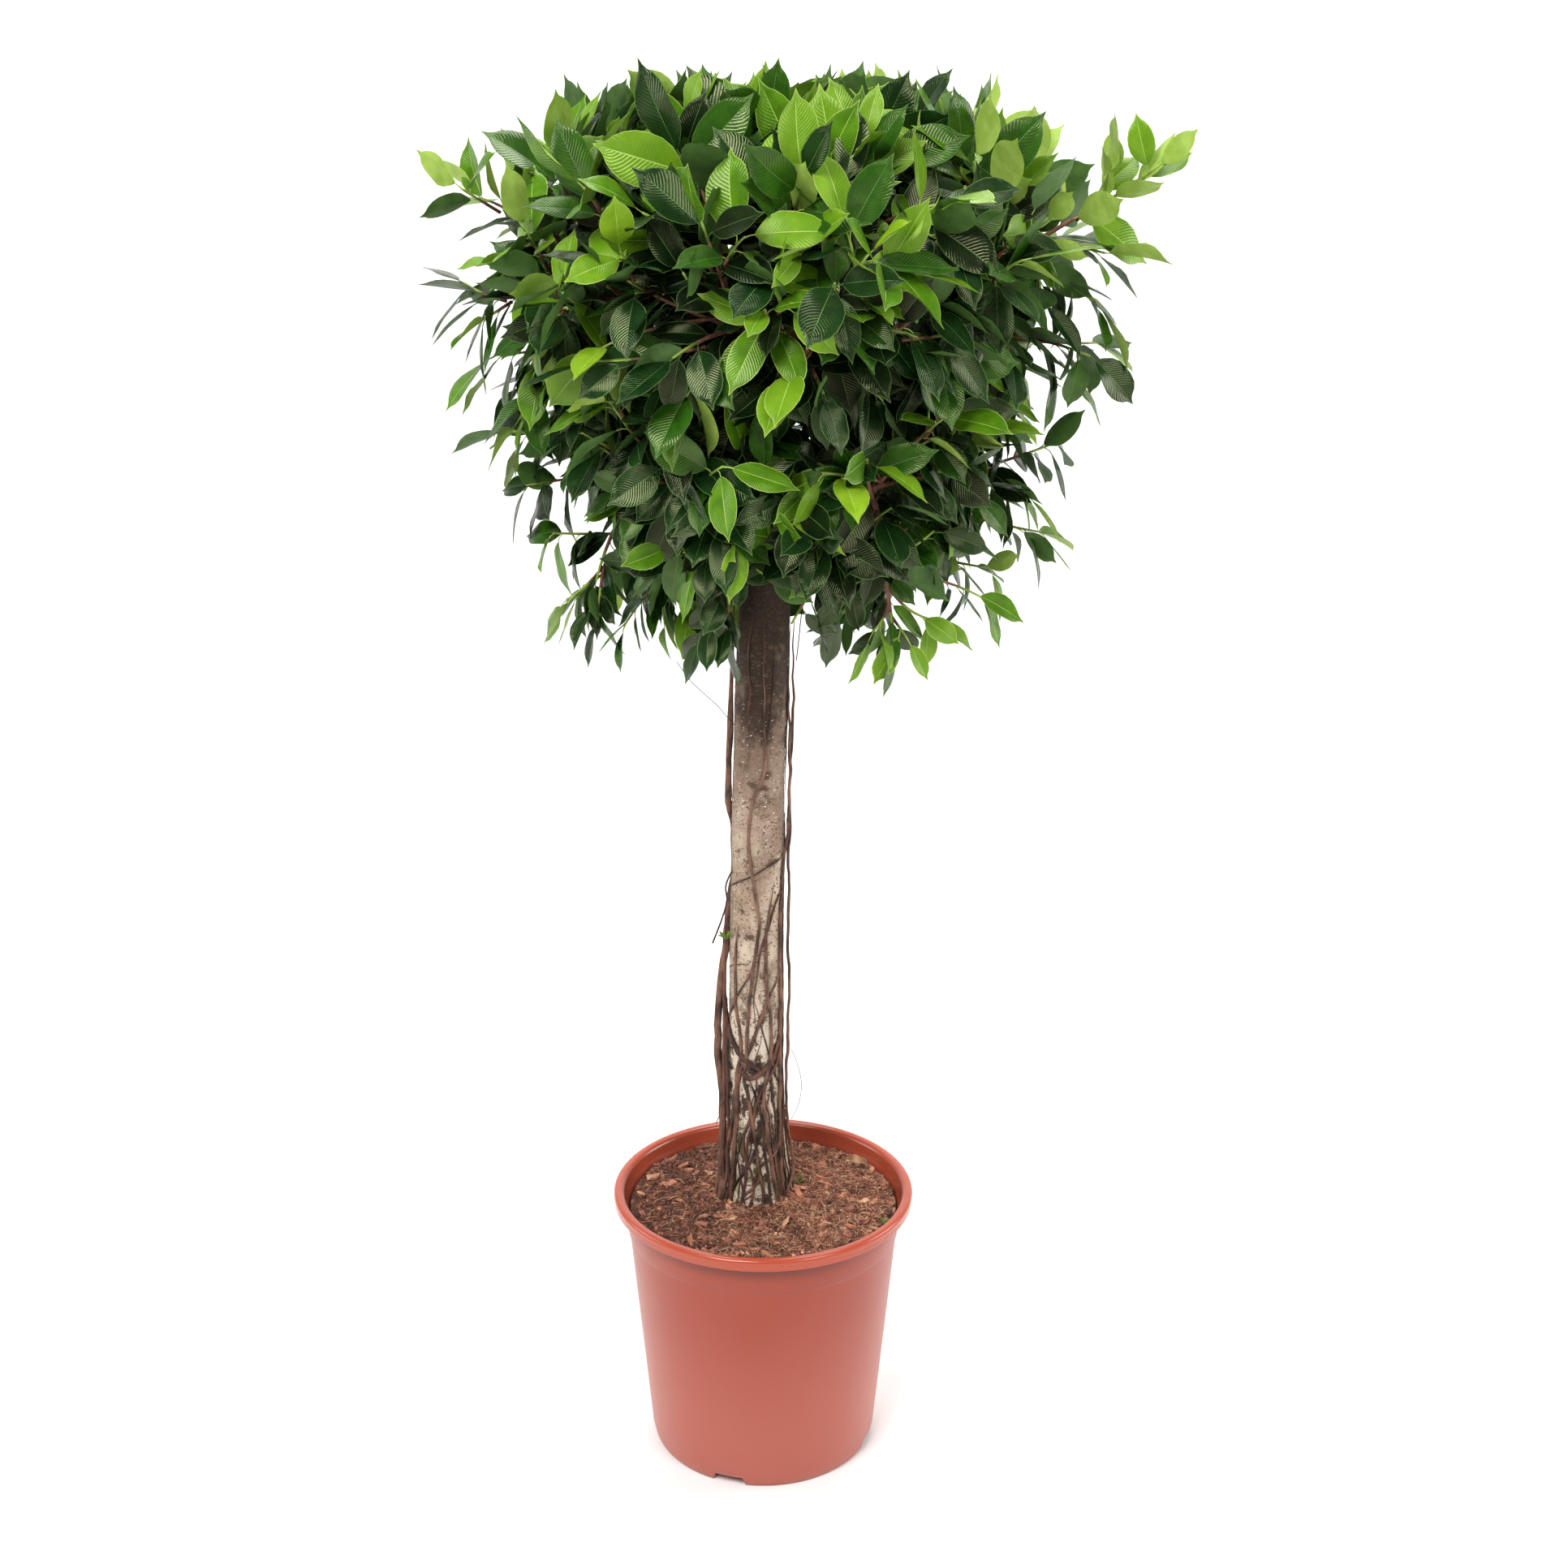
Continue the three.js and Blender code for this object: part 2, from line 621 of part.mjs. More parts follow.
// One mass: a stem off its bough, limbs out of the stem, shoots out of the limbs and leaves along the shoots.
function massSolid(plan, plans, limbs, seed) {
  const rnd = seededRandom(seed);
  const stem = solid(limb(stemCurve(plan), () => BOUGH.tipRadius - 0.2, 6, 2));
  const core = coreSolid(plan, plans, rnd);
  const shoots = shootsOf(plan, plans, new Taken(limbs));
  const twigs = shoots.map(({ twig }) => twig);
  const room = {
    taken: new Taken([...limbs, stem, core, ...twigs]),
    holds: (p) => depthInSpace(p, plan, plans) > CLEARANCE && p.z > CROWN.floor && p.z < CROWN.ceiling,
  };
  const leaves = shoots.flatMap((shoot) => leavesOf(shoot, room, rnd));
  return settled(wasm.Manifold.union([stem, core, ...twigs, ...leaves]));
}

function foliageColour(plan) {
  if (plan.bough === 'leader') return COLOURS.foliageTop;
  return plan.name.includes('upper') ? COLOURS.foliageHigh : COLOURS.foliageLow;
}

const tree = new THREE.Group();
tree.add(meshOf('pot', geometryOf(potSolid()), COLOURS.pot, 0.45));
tree.add(meshOf('soil', soilGeometry(), COLOURS.soil, 0.95));
tree.add(meshOf('trunk', trunkGeometry(), COLOURS.trunk, 0.85));
ROOT_RUNS.forEach((run, i) => {
  tree.add(meshOf(`aerial_root_${i + 1}`, rootGeometry(run), COLOURS.root, 0.85));
});

const plans = massPlans();
const limbRoom = [solid(trunkGeometry(11)), ...plans.map((plan) => boughSolid(plan, 1.2))];
const trunkRoom = solid(trunkGeometry(CLEARANCE));
plans.forEach((plan, i) => {
  const bough = settled(boughSolid(plan).subtract(trunkRoom));
  tree.add(meshOf(plan.bough, geometryOf(bough), COLOURS.bough, 0.85));
  const mass = massSolid(plan, plans, limbRoom, 100 + 7 * i);
  tree.add(meshOf(plan.name, geometryOf(mass), foliageColour(plan), 0.4));
});

export default tree;
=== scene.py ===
"""A standard fig tree with a round leafy head, in a round nursery pot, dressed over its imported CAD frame.

Growth is worked out in millimetres with the same sizes and rules as the solids, and each mesh is in metres.
+Z is up and -Y is the front.
"""

import math

import bpy
import numpy as np
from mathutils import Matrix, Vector, noise


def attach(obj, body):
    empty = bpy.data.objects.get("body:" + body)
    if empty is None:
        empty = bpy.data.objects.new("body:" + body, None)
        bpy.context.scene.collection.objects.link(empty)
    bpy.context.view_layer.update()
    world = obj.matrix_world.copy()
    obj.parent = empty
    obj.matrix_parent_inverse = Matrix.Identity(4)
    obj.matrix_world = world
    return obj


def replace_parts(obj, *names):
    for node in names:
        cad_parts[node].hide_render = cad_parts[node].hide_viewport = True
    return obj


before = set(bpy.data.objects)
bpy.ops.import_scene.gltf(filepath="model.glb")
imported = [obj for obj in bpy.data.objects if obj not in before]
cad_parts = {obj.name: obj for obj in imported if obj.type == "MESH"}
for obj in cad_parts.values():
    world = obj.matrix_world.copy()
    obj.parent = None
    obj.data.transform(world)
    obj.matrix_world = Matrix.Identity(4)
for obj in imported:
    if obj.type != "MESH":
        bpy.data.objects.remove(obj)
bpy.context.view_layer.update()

MM = 0.001

# Sizes shared with the solids
FOOT_RADIUS = 112
FOOT_HEIGHT = 9
CENTRE_FOOT = 58
WALL = 2.2
NOTCH_WIDTH = 16  # degrees
FIRST_NOTCH = 252
WALL_OUTSIDE = [(14, 114.5), (231, 134.6), (233, 136), (266, 138)]
SOIL_TOP = 264
SOIL_EDGE = 259
FORK_HEIGHT = 962
TRUNK_FOOT = (-7, 12)
TRUNK_ROOM = 34  # free of crumbs and leaves, from the trunk's middle

# The solids' nine aerial roots: radius, course as (height, degrees) and how far each stands off the bark
ROOT_RUNS = [
    (3.6, [(264, 210), (286, 206), (330, 186), (420, 180), (527, 177), (560, 160), (600, 143), (645, 143),
           (672, 162), (692, 178), (780, 181), (872, 187)],
     [(264, 0), (325, 0.5), (362, 2), (388, 4), (425, 8), (454, 7), (491, 5.5), (527, 1), (560, 0), (675, 0),
      (697, 1), (717, 1), (750, 0), (783, 0)]),
    (2.3, [(264, 208), (320, 213), (350, 221), (400, 230), (437, 239), (480, 227), (520, 221), (560, 229)],
     [(264, 0), (330, 1.5), (400, 0)]),
    (2.3, [(264, 283), (283, 282), (310, 276), (338, 270), (374, 259), (403, 250), (430, 250), (480, 258),
           (528, 266), (556, 276), (581, 272), (610, 261), (624, 256), (648, 250), (671, 251), (691, 262),
           (708, 276), (728, 283), (752, 281), (782, 278), (868, 271)],
     [(264, 1), (330, 0.5), (400, 0)]),
    (2.8, [(264, 306), (302, 301), (337, 293), (382, 288), (419, 301), (455, 304), (500, 292), (545, 290),
           (604, 308)],
     [(264, 0), (600, 0)]),
    (2.5, [(264, 328), (340, 324), (400, 331), (481, 331), (525, 326), (583, 332), (640, 346), (669, 353),
           (717, 354), (756, 350), (860, 334)],
     [(264, 1), (400, 0), (600, 0), (655, 2), (684, 4), (717, 3.5), (753, 2.5), (783, 0.5)]),
    (2.3, [(256, -35), (273, -20), (297, -3), (352, -1), (420, 2), (522, -1), (600, 2), (663, 1), (783, -1),
           (866, 3)],
     [(264, 0), (297, 3.5), (352, 2), (380, 1.8), (418, 5), (449, 4), (491, 5), (518, 4.4), (598, 4.4),
      (632, 3), (663, 4), (700, 3.6), (733, 5), (783, 4.4), (840, 2)]),
    (2.6, [(264, 54), (330, 60), (410, 52), (500, 49), (580, 58), (640, 63), (700, 57)],
     [(264, 0), (450, 2), (600, 0)]),
    (2.4, [(264, 98), (350, 91), (430, 97), (540, 106), (620, 99), (720, 92), (850, 101)],
     [(264, 1), (600, 0), (760, 3)]),
    (2.8, [(264, 141), (340, 135), (420, 141), (500, 149), (560, 143), (620, 138)],
     [(264, 0), (400, 3), (520, 0)]),
]


HEAD = np.array([19.0, 4.0])
FOCUS_HEIGHT = 1030
OUTLINE = [
    (862, 50), (880, 88), (905, 116), (950, 148), (1000, 176), (1060, 201),
    (1120, 220), (1180, 232), (1225, 234), (1258, 212), (1282, 165), (1298, 95), (1302, 0),
]
LOW_PART = 1060
LOW_CROWDING = 1.7
MAIN_TIPS = 110
GOLDEN_ANGLE = 137.508
FORKS = (0.34, 0.42, 0.5)
MAIN_RADIUS = 3.6
SIDE_RADIUS = 2.4
MASS_RINGS = [  # name, count, turn, distance, height, height where the bough leaves, bough's reach
    ("lower", 5, 18, 132, 984, 893, 0.55),
    ("upper", 4, 0, 136, 1146, 928, 0.62),
]
TOP_MASS = (1206, FORK_HEIGHT - 4, 0.62)  # height, height where the leader starts, its reach
CROWN_FLOOR = 786
CROWN_CEILING = 1350
LONG_SHOOTS = [  # degrees, height, distance from the head's axis
    (2, 1246, 306), (350, 1106, 270), (176, 1236, 270), (188, 1152, 268), (168, 1070, 246),
    (196, 906, 176), (318, 856, 132), (92, 1240, 268), (66, 1010, 240),
]

UP = np.array([0.0, 0.0, 1.0])


# Small helpers
def lerp(a, b, t):
    return a + (b - a) * t


def unit(v):
    v = np.asarray(v, float)
    return v / np.maximum(np.linalg.norm(v, axis=-1, keepdims=True), 1e-9)


def radial(a):
    return np.array([math.cos(a), math.sin(a), 0])


def along(table, x):
    return np.interp(x, [a for a, _ in table], [b for _, b in table])


def on_circle(azimuth, distance, height, centre=(0.0, 0.0)):
    a = math.radians(azimuth)
    return np.array([centre[0] + distance * math.cos(a), centre[1] + distance * math.sin(a), height])


def placed(name, data):
    """A new object in the scene."""
    made = bpy.data.objects.new(name, data)
    bpy.context.scene.collection.objects.link(made)
    return made


def ripple(point, scale, seed=0.0):
    """Smooth noise from -1 to 1 at a point in millimetres."""
    return noise.noise(Vector((point[0] * scale + seed, point[1] * scale, point[2] * scale)))


def linear(code):
    """An sRGB colour code as the four linear values that a shader takes."""
    parts = [int(code[i:i + 2], 16) / 255 for i in (0, 2, 4)]
    return [p / 12.92 if p <= 0.04045 else ((p + 0.055) / 1.055) ** 2.4 for p in parts] + [1.0]


class Batch:
    """Points and faces that become one mesh."""

    def __init__(self):
        self.points = []
        self.uvs = []
        self.faces = {3: [], 4: []}
        self.slots = {3: [], 4: []}
        self.count = 0

    def add(self, points, faces, slot=0, uv=None):
        points = np.asarray(points, float).reshape(-1, 3)
        self.more(faces, self.count, slot)
        self.points.append(points)
        self.uvs.append(np.zeros((len(points), 2)) if uv is None else uv)
        self.count += len(points)

    def more(self, faces, first, slot):
        """Faces over points counted from `first`."""
        faces = np.asarray(faces, np.int64)
        self.faces[faces.shape[1]].append(faces + first)
        self.slots[faces.shape[1]].append(np.broadcast_to(np.asarray(slot, np.int32), (len(faces),)))

    def body(self, grid, slot=0):
        """Rings of points, lowest first, as one closed body with flat ends."""
        rings, sides = grid.shape[:2]
        first = self.count
        self.add(grid, ring_faces(rings, sides), slot)
        for ring, facing_up in ((0, False), (rings - 1, True)):
            self.more(cap_faces(ring * sides, sides, facing_up), first, 0 if np.ndim(slot) else slot)

    def piece(self, name, materials, slot, smooth=True):
        points = np.concatenate(self.points) * MM
        kinds = [size for size in (3, 4) if self.faces[size]]
        faces = [np.concatenate(self.faces[size]) for size in kinds]
        corners = np.concatenate([f.ravel() for f in faces])
        sizes = np.concatenate([np.full(len(f), f.shape[1]) for f in faces])
        mesh = bpy.data.meshes.new(name)
        mesh.vertices.add(len(points))
        mesh.vertices.foreach_set("co", points.ravel())
        mesh.loops.add(len(corners))
        mesh.loops.foreach_set("vertex_index", corners)
        mesh.polygons.add(len(sizes))
        mesh.polygons.foreach_set("loop_start", np.concatenate([[0], np.cumsum(sizes)[:-1]]))
        mesh.update(calc_edges=True)
        slots = np.concatenate([np.concatenate(self.slots[size]) for size in kinds])
        mesh.polygons.foreach_set("material_index", slots)
        mesh.polygons.foreach_set("use_smooth", np.full(len(sizes), smooth))
        layer = mesh.uv_layers.new(name="UVMap")
        layer.data.foreach_set("uv", np.concatenate(self.uvs)[corners].ravel())
        for material in materials:
            mesh.materials.append(material)
        mesh.update()
        made = placed(name, mesh)
        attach(made, "root")
        return made


def ring_faces(rings, sides):
    """Four-sided faces between rings of points, facing outward where the rings run anticlockwise upward."""
    r, s = np.meshgrid(np.arange(rings - 1), np.arange(sides), indexing="ij")
    a = r * sides + s
    b = r * sides + (s + 1) % sides
    return np.stack([a, b, b + sides, a + sides], -1).reshape(-1, 4)


def cap_faces(first, sides, facing_up):
    i = np.arange(1, sides - 1)
    order = [np.full_like(i, 0), i, i + 1] if facing_up else [np.full_like(i, 0), i + 1, i]
    return np.stack(order, -1) + first


def frames_along(path):
    """A square pair of directions across each point of a path, turned as little as possible."""
    way = unit(np.gradient(path, axis=0))
    first = np.cross(way[0], UP if abs(way[0][2]) < 0.9 else np.array([1.0, 0, 0]))
    across = [unit(first)]
    for w in way[1:]:
        side = across[-1] - w * np.dot(across[-1], w)
        across.append(unit(side))
    across = np.array(across)
    return across, np.cross(way, across)


def tube(batch, path, radii, sides, slot=0):
    path = np.asarray(path, float)
    radii = np.broadcast_to(np.asarray(radii, float), (len(path),))
    across, over = frames_along(path)
    a = 2 * np.pi * np.arange(sides) / sides
    batch.body(path[:, None] + radii[:, None, None]
               * (across[:, None] * np.cos(a)[:, None] + over[:, None] * np.sin(a)[:, None]), slot)


def lengths_along(path):
    return np.concatenate([[0], np.cumsum(np.linalg.norm(np.diff(path, axis=0), axis=1))])


def bezier(a, b, c, steps):
    t = np.linspace(0, 1, steps)[:, None]
    return (1 - t) ** 2 * a + 2 * t * (1 - t) * b + t ** 2 * c


def smooth_through(rows, step):
    """Even steps on a smooth curve through rows of values."""
    rows = np.asarray(rows, float)
    last = len(rows) - 1
    out = []
    for t in np.linspace(0, last, max(int(last * step), 2)):
        i = min(int(t), last - 1)
        f = t - i
        p0, p1, p2, p3 = rows[max(i - 1, 0)], rows[i], rows[i + 1], rows[min(i + 2, last)]
        out.append(0.5 * (2 * p1 + (p2 - p0) * f + (2 * p0 - 5 * p1 + 4 * p2 - p3) * f * f
                          + (3 * p1 - p0 - 3 * p2 + p3) * f ** 3))
    return np.array(out)


def knots(count, start, scale=0.21):
    """How a root's or a limb's thickness wavers along it, from -1 to 1."""
    return np.array([ripple((start, 0, i), scale) for i in range(count)])


# Marks on the bark, in metres: dark spots, the pale smooth scar of a lost bough and the hollow under it,
# painted dark as shade
SPOTS = [(-0.009, -0.012, 0.704), (0.003, -0.012, 0.712), (0.000, -0.012, 0.700), (0.012, -0.008, 0.624),
         (-0.018, -0.003, 0.574), (-0.013, -0.010, 0.549)]
PALE_SCAR = (0.001, -0.011, 0.435)
HOLLOW = (-0.006, -0.016, 0.410)


# Materials
class Shade:
    """One material: a principled shader with textures in metres of the object's own space."""

    def __init__(self, name, colour, roughness, **values):
        self.material = bpy.data.materials.new(name)
        self.material.use_nodes = True
        self.tree = self.material.node_tree
        self.shader = self.tree.nodes["Principled BSDF"]
        self.shader.inputs["Base Color"].default_value = linear(colour)
        self.shader.inputs["Roughness"].default_value = roughness
        for key, value in values.items():
            self.shader.inputs[key.replace("_", " ")].default_value = value
        self.place = self.node("ShaderNodeTexCoord").outputs["Object"]

    def node(self, kind, inputs=(), **settings):
        made = self.tree.nodes.new(kind)
        for key, value in settings.items():
            setattr(made, key, value)
        for key, value in dict(inputs).items():
            if hasattr(value, "is_linked"):
                self.tree.links.new(value, made.inputs[key])
            else:
                made.inputs[key].default_value = value
        return made

    def stretched(self, scale):
        return self.node("ShaderNodeMapping", {"Vector": self.place, "Scale": scale}).outputs[0]

    def speckle(self, scale, detail, stretch=(1, 1, 1), roughness=0.55):
        inputs = {"Vector": self.stretched(stretch), "Scale": scale, "Detail": detail, "Roughness": roughness}
        return self.node("ShaderNodeTexNoise", inputs).outputs["Fac"]

    def near(self, centre, scale):
        """Distance in metres from a point, with the distance along each axis scaled."""
        ends = {0: self.stretched(scale), 1: [c * k for c, k in zip(centre, scale)]}
        return self.node("ShaderNodeVectorMath", ends, operation="DISTANCE").outputs["Value"]

    def axis(self, name):
        return self.node("ShaderNodeSeparateXYZ", {0: self.place}).outputs[name]

    def maths(self, operation, a, b=0.0):
        return self.node("ShaderNodeMath", {0: a, 1: b}, operation=operation).outputs[0]

    def times(self, a, b):
        return self.maths("MULTIPLY", a, b)

    def ragged(self, value, amount, *speckle):
        """A value that the speckle makes uneven."""
        return self.maths("ADD", value, self.times(self.speckle(*speckle), amount))

    def window(self, value, low, high):
        inputs = {"Value": value, "From Min": low, "From Max": high}
        return self.node("ShaderNodeMapRange", inputs, interpolation_type="SMOOTHSTEP").outputs[0]

    def mix(self, factor, a, b):
        made = self.node("ShaderNodeMix", {0: factor}, data_type="RGBA")
        for socket, value in ((made.inputs[6], a), (made.inputs[7], b)):
            if isinstance(value, str):
                socket.default_value = linear(value)
            else:
                self.tree.links.new(value, socket)
        return made.outputs[2]

    def patches(self, base, colour, low, high, *speckle):
        """A second colour over the base as the speckle goes from low to high."""
        return self.mix(self.window(self.speckle(*speckle), low, high), base, colour)

    def glow(self, weight):
        """Light that soaks through a thin blade."""
        if weight > 0:
            self.shader.inputs["Subsurface Weight"].default_value = weight
            self.shader.inputs["Subsurface Radius"].default_value = (0.9, 1.2, 0.3)
            self.shader.inputs["Subsurface Scale"].default_value = 0.0012

    def colour(self, socket):
        self.tree.links.new(socket, self.shader.inputs["Base Color"])

    def roughness(self, socket):
        self.tree.links.new(socket, self.shader.inputs["Roughness"])

    def bump(self, height, distance, strength, under=None):
        inputs = {"Height": height, "Distance": distance, "Strength": strength}
        if under is not None:
            inputs["Normal"] = under
        made = self.node("ShaderNodeBump", inputs).outputs[0]
        self.tree.links.new(made, self.shader.inputs["Normal"])
        return made


def pot_material(name, inside=False):
    """Moulded plastic, a little paler and duller towards the foot as painted bounce light from the floor,
    with painted shadow under the lip; the inside of the wall is painted deeper, as shade.
    """
    s = Shade(name, "9c4532", 0.36, Coat_Weight=0.0 if inside else 0.1, Coat_Roughness=0.3)
    height = s.axis("Z")
    if inside:
        # Painted shade: the inside of the wall is darker than the lip's top.
        plain, worn = s.mix(s.window(height, 0.2752, 0.2763), "98402a", "b0482e"), "98412a"
    else:
        # Painted bounce light: paler towards the foot, deeper towards the top under the rim.
        wall = s.mix(s.window(height, 0.02, 0.24), "ae5948", "983822")
        # Painted shadow of the lip on the wall just under it.
        lip_shadow_painted = s.mix(s.times(s.window(height, 0.243, 0.261), 0.85), wall, "702a19")
        plain, worn = s.mix(s.window(height, 0.2638, 0.2645), lip_shadow_painted, "b0482e"), "a64f3a"
    s.colour(s.mix(s.times(s.window(s.speckle(7, 2), 0.3, 0.75), 0.3), plain, worn))
    scuffs = {"Value": s.speckle(160, 4, (1, 1, 0.25)), "To Min": 0.3, "To Max": 0.44}
    polish = s.times(s.window(height, 0.26, 0.268), 0.16)
    s.roughness(s.maths("SUBTRACT", s.node("ShaderNodeMapRange", scuffs).outputs[0], polish))
    s.bump(s.speckle(420, 2), 0.0001, 0.35)
    return s.material


def soil_material(name, dark, light, fleck):
    """Crumbs in two colours with pale flecks, darker on the left as painted shadow of the rim."""
    s = Shade(name, dark, 0.95)
    crumbs = s.patches(dark, light, 0.38, 0.62, 70, 5)
    flecked = s.patches(crumbs, fleck, 0.55, 0.64, 260, 3, (1, 0.4, 1))
    # Painted shadow: darker towards the left, where the rim shades the soil.
    s.colour(s.mix(s.times(s.window(s.axis("X"), -0.02, -0.1), 0.62), flecked, "2e1811"))
    s.bump(s.speckle(340, 5), 0.0018, 1.0)
    return s.material


def bark_material():
    """Pale bark with specks, blotches and lenticels: dark under the head, partly painted shade of the head,
    and patched with moss at the foot.
    """
    s = Shade("bark", "b8a08d", 0.8)
    height = s.axis("Z")
    pale = s.patches("98816e", "c5b19c", 0.36, 0.66, 34, 4)
    tawny = s.patches(pale, "8c745f", 0.5, 0.7, 22, 4, (1, 1, 0.6))
    patchy = s.patches("d0bfab", "3f2a1e", 0.49, 0.56, 75, 6, (1, 1, 0.7), 0.65)
    low = s.ragged(height, -0.2, 22, 3, (1, 1, 0.5))
    bark = s.mix(s.window(low, 0.42, 0.33), tawny, patchy)
    stain = s.window(s.speckle(17, 5, (1, 1, 0.22), 0.6), 0.56, 0.62)
    bark = s.mix(s.times(stain, 0.5), bark, "77644d")
    # Painted shade: a browner band below the head.
    painted_shade_band = s.window(s.ragged(height, 0.16, 26, 5, (1, 1, 0.3)), 0.67, 0.83)
    bark = s.mix(s.times(painted_shade_band, 0.85), bark, "6f5645")
    # Dark brown under the head: partly the bark's own brown, partly the head's shade painted in.
    top = s.window(s.ragged(height, 0.3, 46, 6, (1, 1, 0.45), 0.65), 0.895, 0.94)
    bark = s.mix(top, bark, "3a281c")
    bark = s.patches(bark, "5e4c36", 0.57, 0.65, 48, 6, (1, 1, 1.2), 0.72)
    for centre in SPOTS:
        edge = s.ragged(s.near(centre, (1, 1, 1.5)), 0.018, 190, 4)
        bark = s.mix(s.window(edge, 0.0172, 0.0118), bark, "543e2e")
    bark = s.patches(bark, "56402f", 0.58, 0.63, 330, 3, (1, 1, 1.4))
    lenticels = s.window(s.speckle(240, 2, (1, 1, 3.2)), 0.66, 0.7)
    bark = s.mix(s.times(lenticels, s.window(height, 0.86, 0.74)), bark, "ddd0bf")
    scar = s.ragged(s.near(PALE_SCAR, (1, 1, 0.8)), 0.012, 120, 3)
    bark = s.mix(s.window(scar, 0.0165, 0.0095), bark, "d3c6b5")
    # Painted shade in the hollow under the scar.
    hollow = s.ragged(s.near(HOLLOW, (0.8, 1, 1.2)), 0.016, 150, 4)
    bark = s.mix(s.window(hollow, 0.021, 0.014), bark, "2f2118")
    moss = s.times(s.window(s.speckle(60, 4), 0.52, 0.6), s.window(height, 0.46, 0.3))
    s.colour(s.mix(s.times(moss, 0.6), bark, "5b6428"))
    fine = s.bump(s.speckle(900, 4, (1, 1, 1.8)), 0.0004, 0.7)
    s.bump(s.speckle(150, 5, (1, 1, 1.4)), 0.0014, 0.7, fine)
    return s.material


def root_material(name, dark, light):
    s = Shade(name, dark, 0.75)
    s.colour(s.patches(dark, light, 0.36, 0.66, 95, 5, (1, 1, 0.4), 0.65))
    fine = s.bump(s.speckle(700, 4, (1, 1, 2.2)), 0.0004, 0.8)
    s.bump(s.speckle(210, 3), 0.0012, 0.5, fine)
    return s.material


VEINS = 11.0
VEIN_SLANT = 5.0


def vein_height(s):
    """Faint side veins that slant forward from the rib, from the blade's own coordinates."""
    uv = s.node("ShaderNodeSeparateXYZ", {0: s.node("ShaderNodeTexCoord").outputs["UV"]})
    out = s.maths("ABSOLUTE", s.maths("SUBTRACT", uv.outputs["X"], 0.5))
    lean = s.maths("SUBTRACT", s.times(uv.outputs["Y"], VEINS), s.times(out, VEIN_SLANT))
    wave = s.maths("SINE", s.times(lean, 2 * math.pi))
    return s.maths("POWER", s.maths("ABSOLUTE", wave), 5.0)


def blade_material(name, colour, light, roughness, through):
    s = Shade(name, colour, roughness, Specular_IOR_Level=0.56 if through < 0.1 else 0.5)
    s.shader.inputs["Specular Tint"].default_value = (0.93, 1.0, 0.52, 1.0)
    s.glow(through)
    s.colour(s.patches(colour, light, 0.35, 0.68, 55, 3))
    fine = s.bump(s.speckle(420, 2), 0.0003, 0.35)
    s.bump(vein_height(s), 0.0005, 0.4, fine)
    return s.material


def plain_leaf_material(name, colour, light, roughness, through=0.0):
    s = Shade(name, colour, roughness, Specular_IOR_Level=0.3)
    s.glow(through)
    s.colour(s.patches(colour, light, 0.35, 0.68, 80, 3))
    s.bump(s.speckle(500, 3), 0.0003, 0.5)
    return s.material


def floor_material():
    s = Shade("floor", "f4f4f2", 0.8)
    s.colour(s.mix(s.speckle(3, 2), "f3f3f1", "f6f6f5"))
    return s.material


# Pot: one turned shell, whose outer foot lifts at the notches
def wall_outside(height):
    return along(WALL_OUTSIDE, height)


def pot_profile(lifted):
    """[radius, height] pairs from the middle of the underside to the middle of the floor inside."""
    f, h, c = FOOT_RADIUS, FOOT_HEIGHT, CENTRE_FOOT
    start = [(1, 0), (c - 3, 0), (c, 0.7), (c + 5, h - 1), (c + 8, h)]
    low = [(-17, h), (-13, 4), (-11, 0.8), (-10, 0), (-5, 0), (-2.5, 0.5), (-0.6, 2), (0.2, 4)]
    high = [(-17, h), (-13, h), (-9, h), (-6, h), (-3, h), (-1, h), (0.4, h + 0.1), (1, h + 0.7)]
    foot = [lerp(np.array([f + a, y]), np.array([f + b, z]), lifted) for (a, y), (b, z) in zip(low, high)]
    wall = [(wall_outside(z), z) for z in (14, 40, 80, 120, 160, 200, 229, 231)]
    neck = [(134.7, 231.5), (135.2, 232.1), (135.6, 232.8), (wall_outside(234), 234),
            (wall_outside(250), 250), (137.6, 261.5), (138.1, 263.6)]
    lip = [(139.4, 264.3), (143, 264.4), (147.2, 264.3), (148.9, 264.4), (149.4, 264.9), (149.5, 266),
           (149.4, 269.4), (149.5, 270.4), (150, 271.3), (150, 272.6), (149.7, 274.2), (148.9, 275.5),
           (147.4, 276.3), (145, 276.5), (142.8, 276.2), (140.9, 275.2), (139.6, 273.8), (139, 272)]
    inner = [(138.3, 268), (136.6, 262.5), (135.6, 259.5), (wall_outside(250) - WALL, 250),
             (wall_outside(232) - 1.6 - WALL, 232)]
    inner += [(wall_outside(z) - WALL, z) for z in (180, 120, 60, 14)]
    floor = [(f - 6, WALL + 1 + lifted * 9), (f - 12, WALL + lifted * 9), (f - 17, h + WALL)]
    centre = [(c + 6, h + WALL), (c, WALL + 1), (c - 4, WALL), (1, WALL)]
    return np.array(start + foot + wall + neck + lip + inner + floor + centre)


INSIDE_RING = 41  # where the profile turns down into the mouth
NOTCH_EDGE = 0.7  # degrees over which the foot rises into a notch, to each side


def notch_lift(azimuth):
    off = abs((azimuth - FIRST_NOTCH + 45) % 90 - 45)
    return float(np.clip((NOTCH_WIDTH / 2 + NOTCH_EDGE - off) / (2 * NOTCH_EDGE), 0, 1))


def pot_azimuths():
    even = set(np.round(np.arange(0, 360, 1.5), 3))
    edges = {round((FIRST_NOTCH + 90 * k + side * (NOTCH_WIDTH / 2 + d)) % 360, 3)
             for k in range(4) for side in (-1, 1) for d in (-NOTCH_EDGE, -0.2, 0.2, NOTCH_EDGE)}
    return sorted(even | edges)


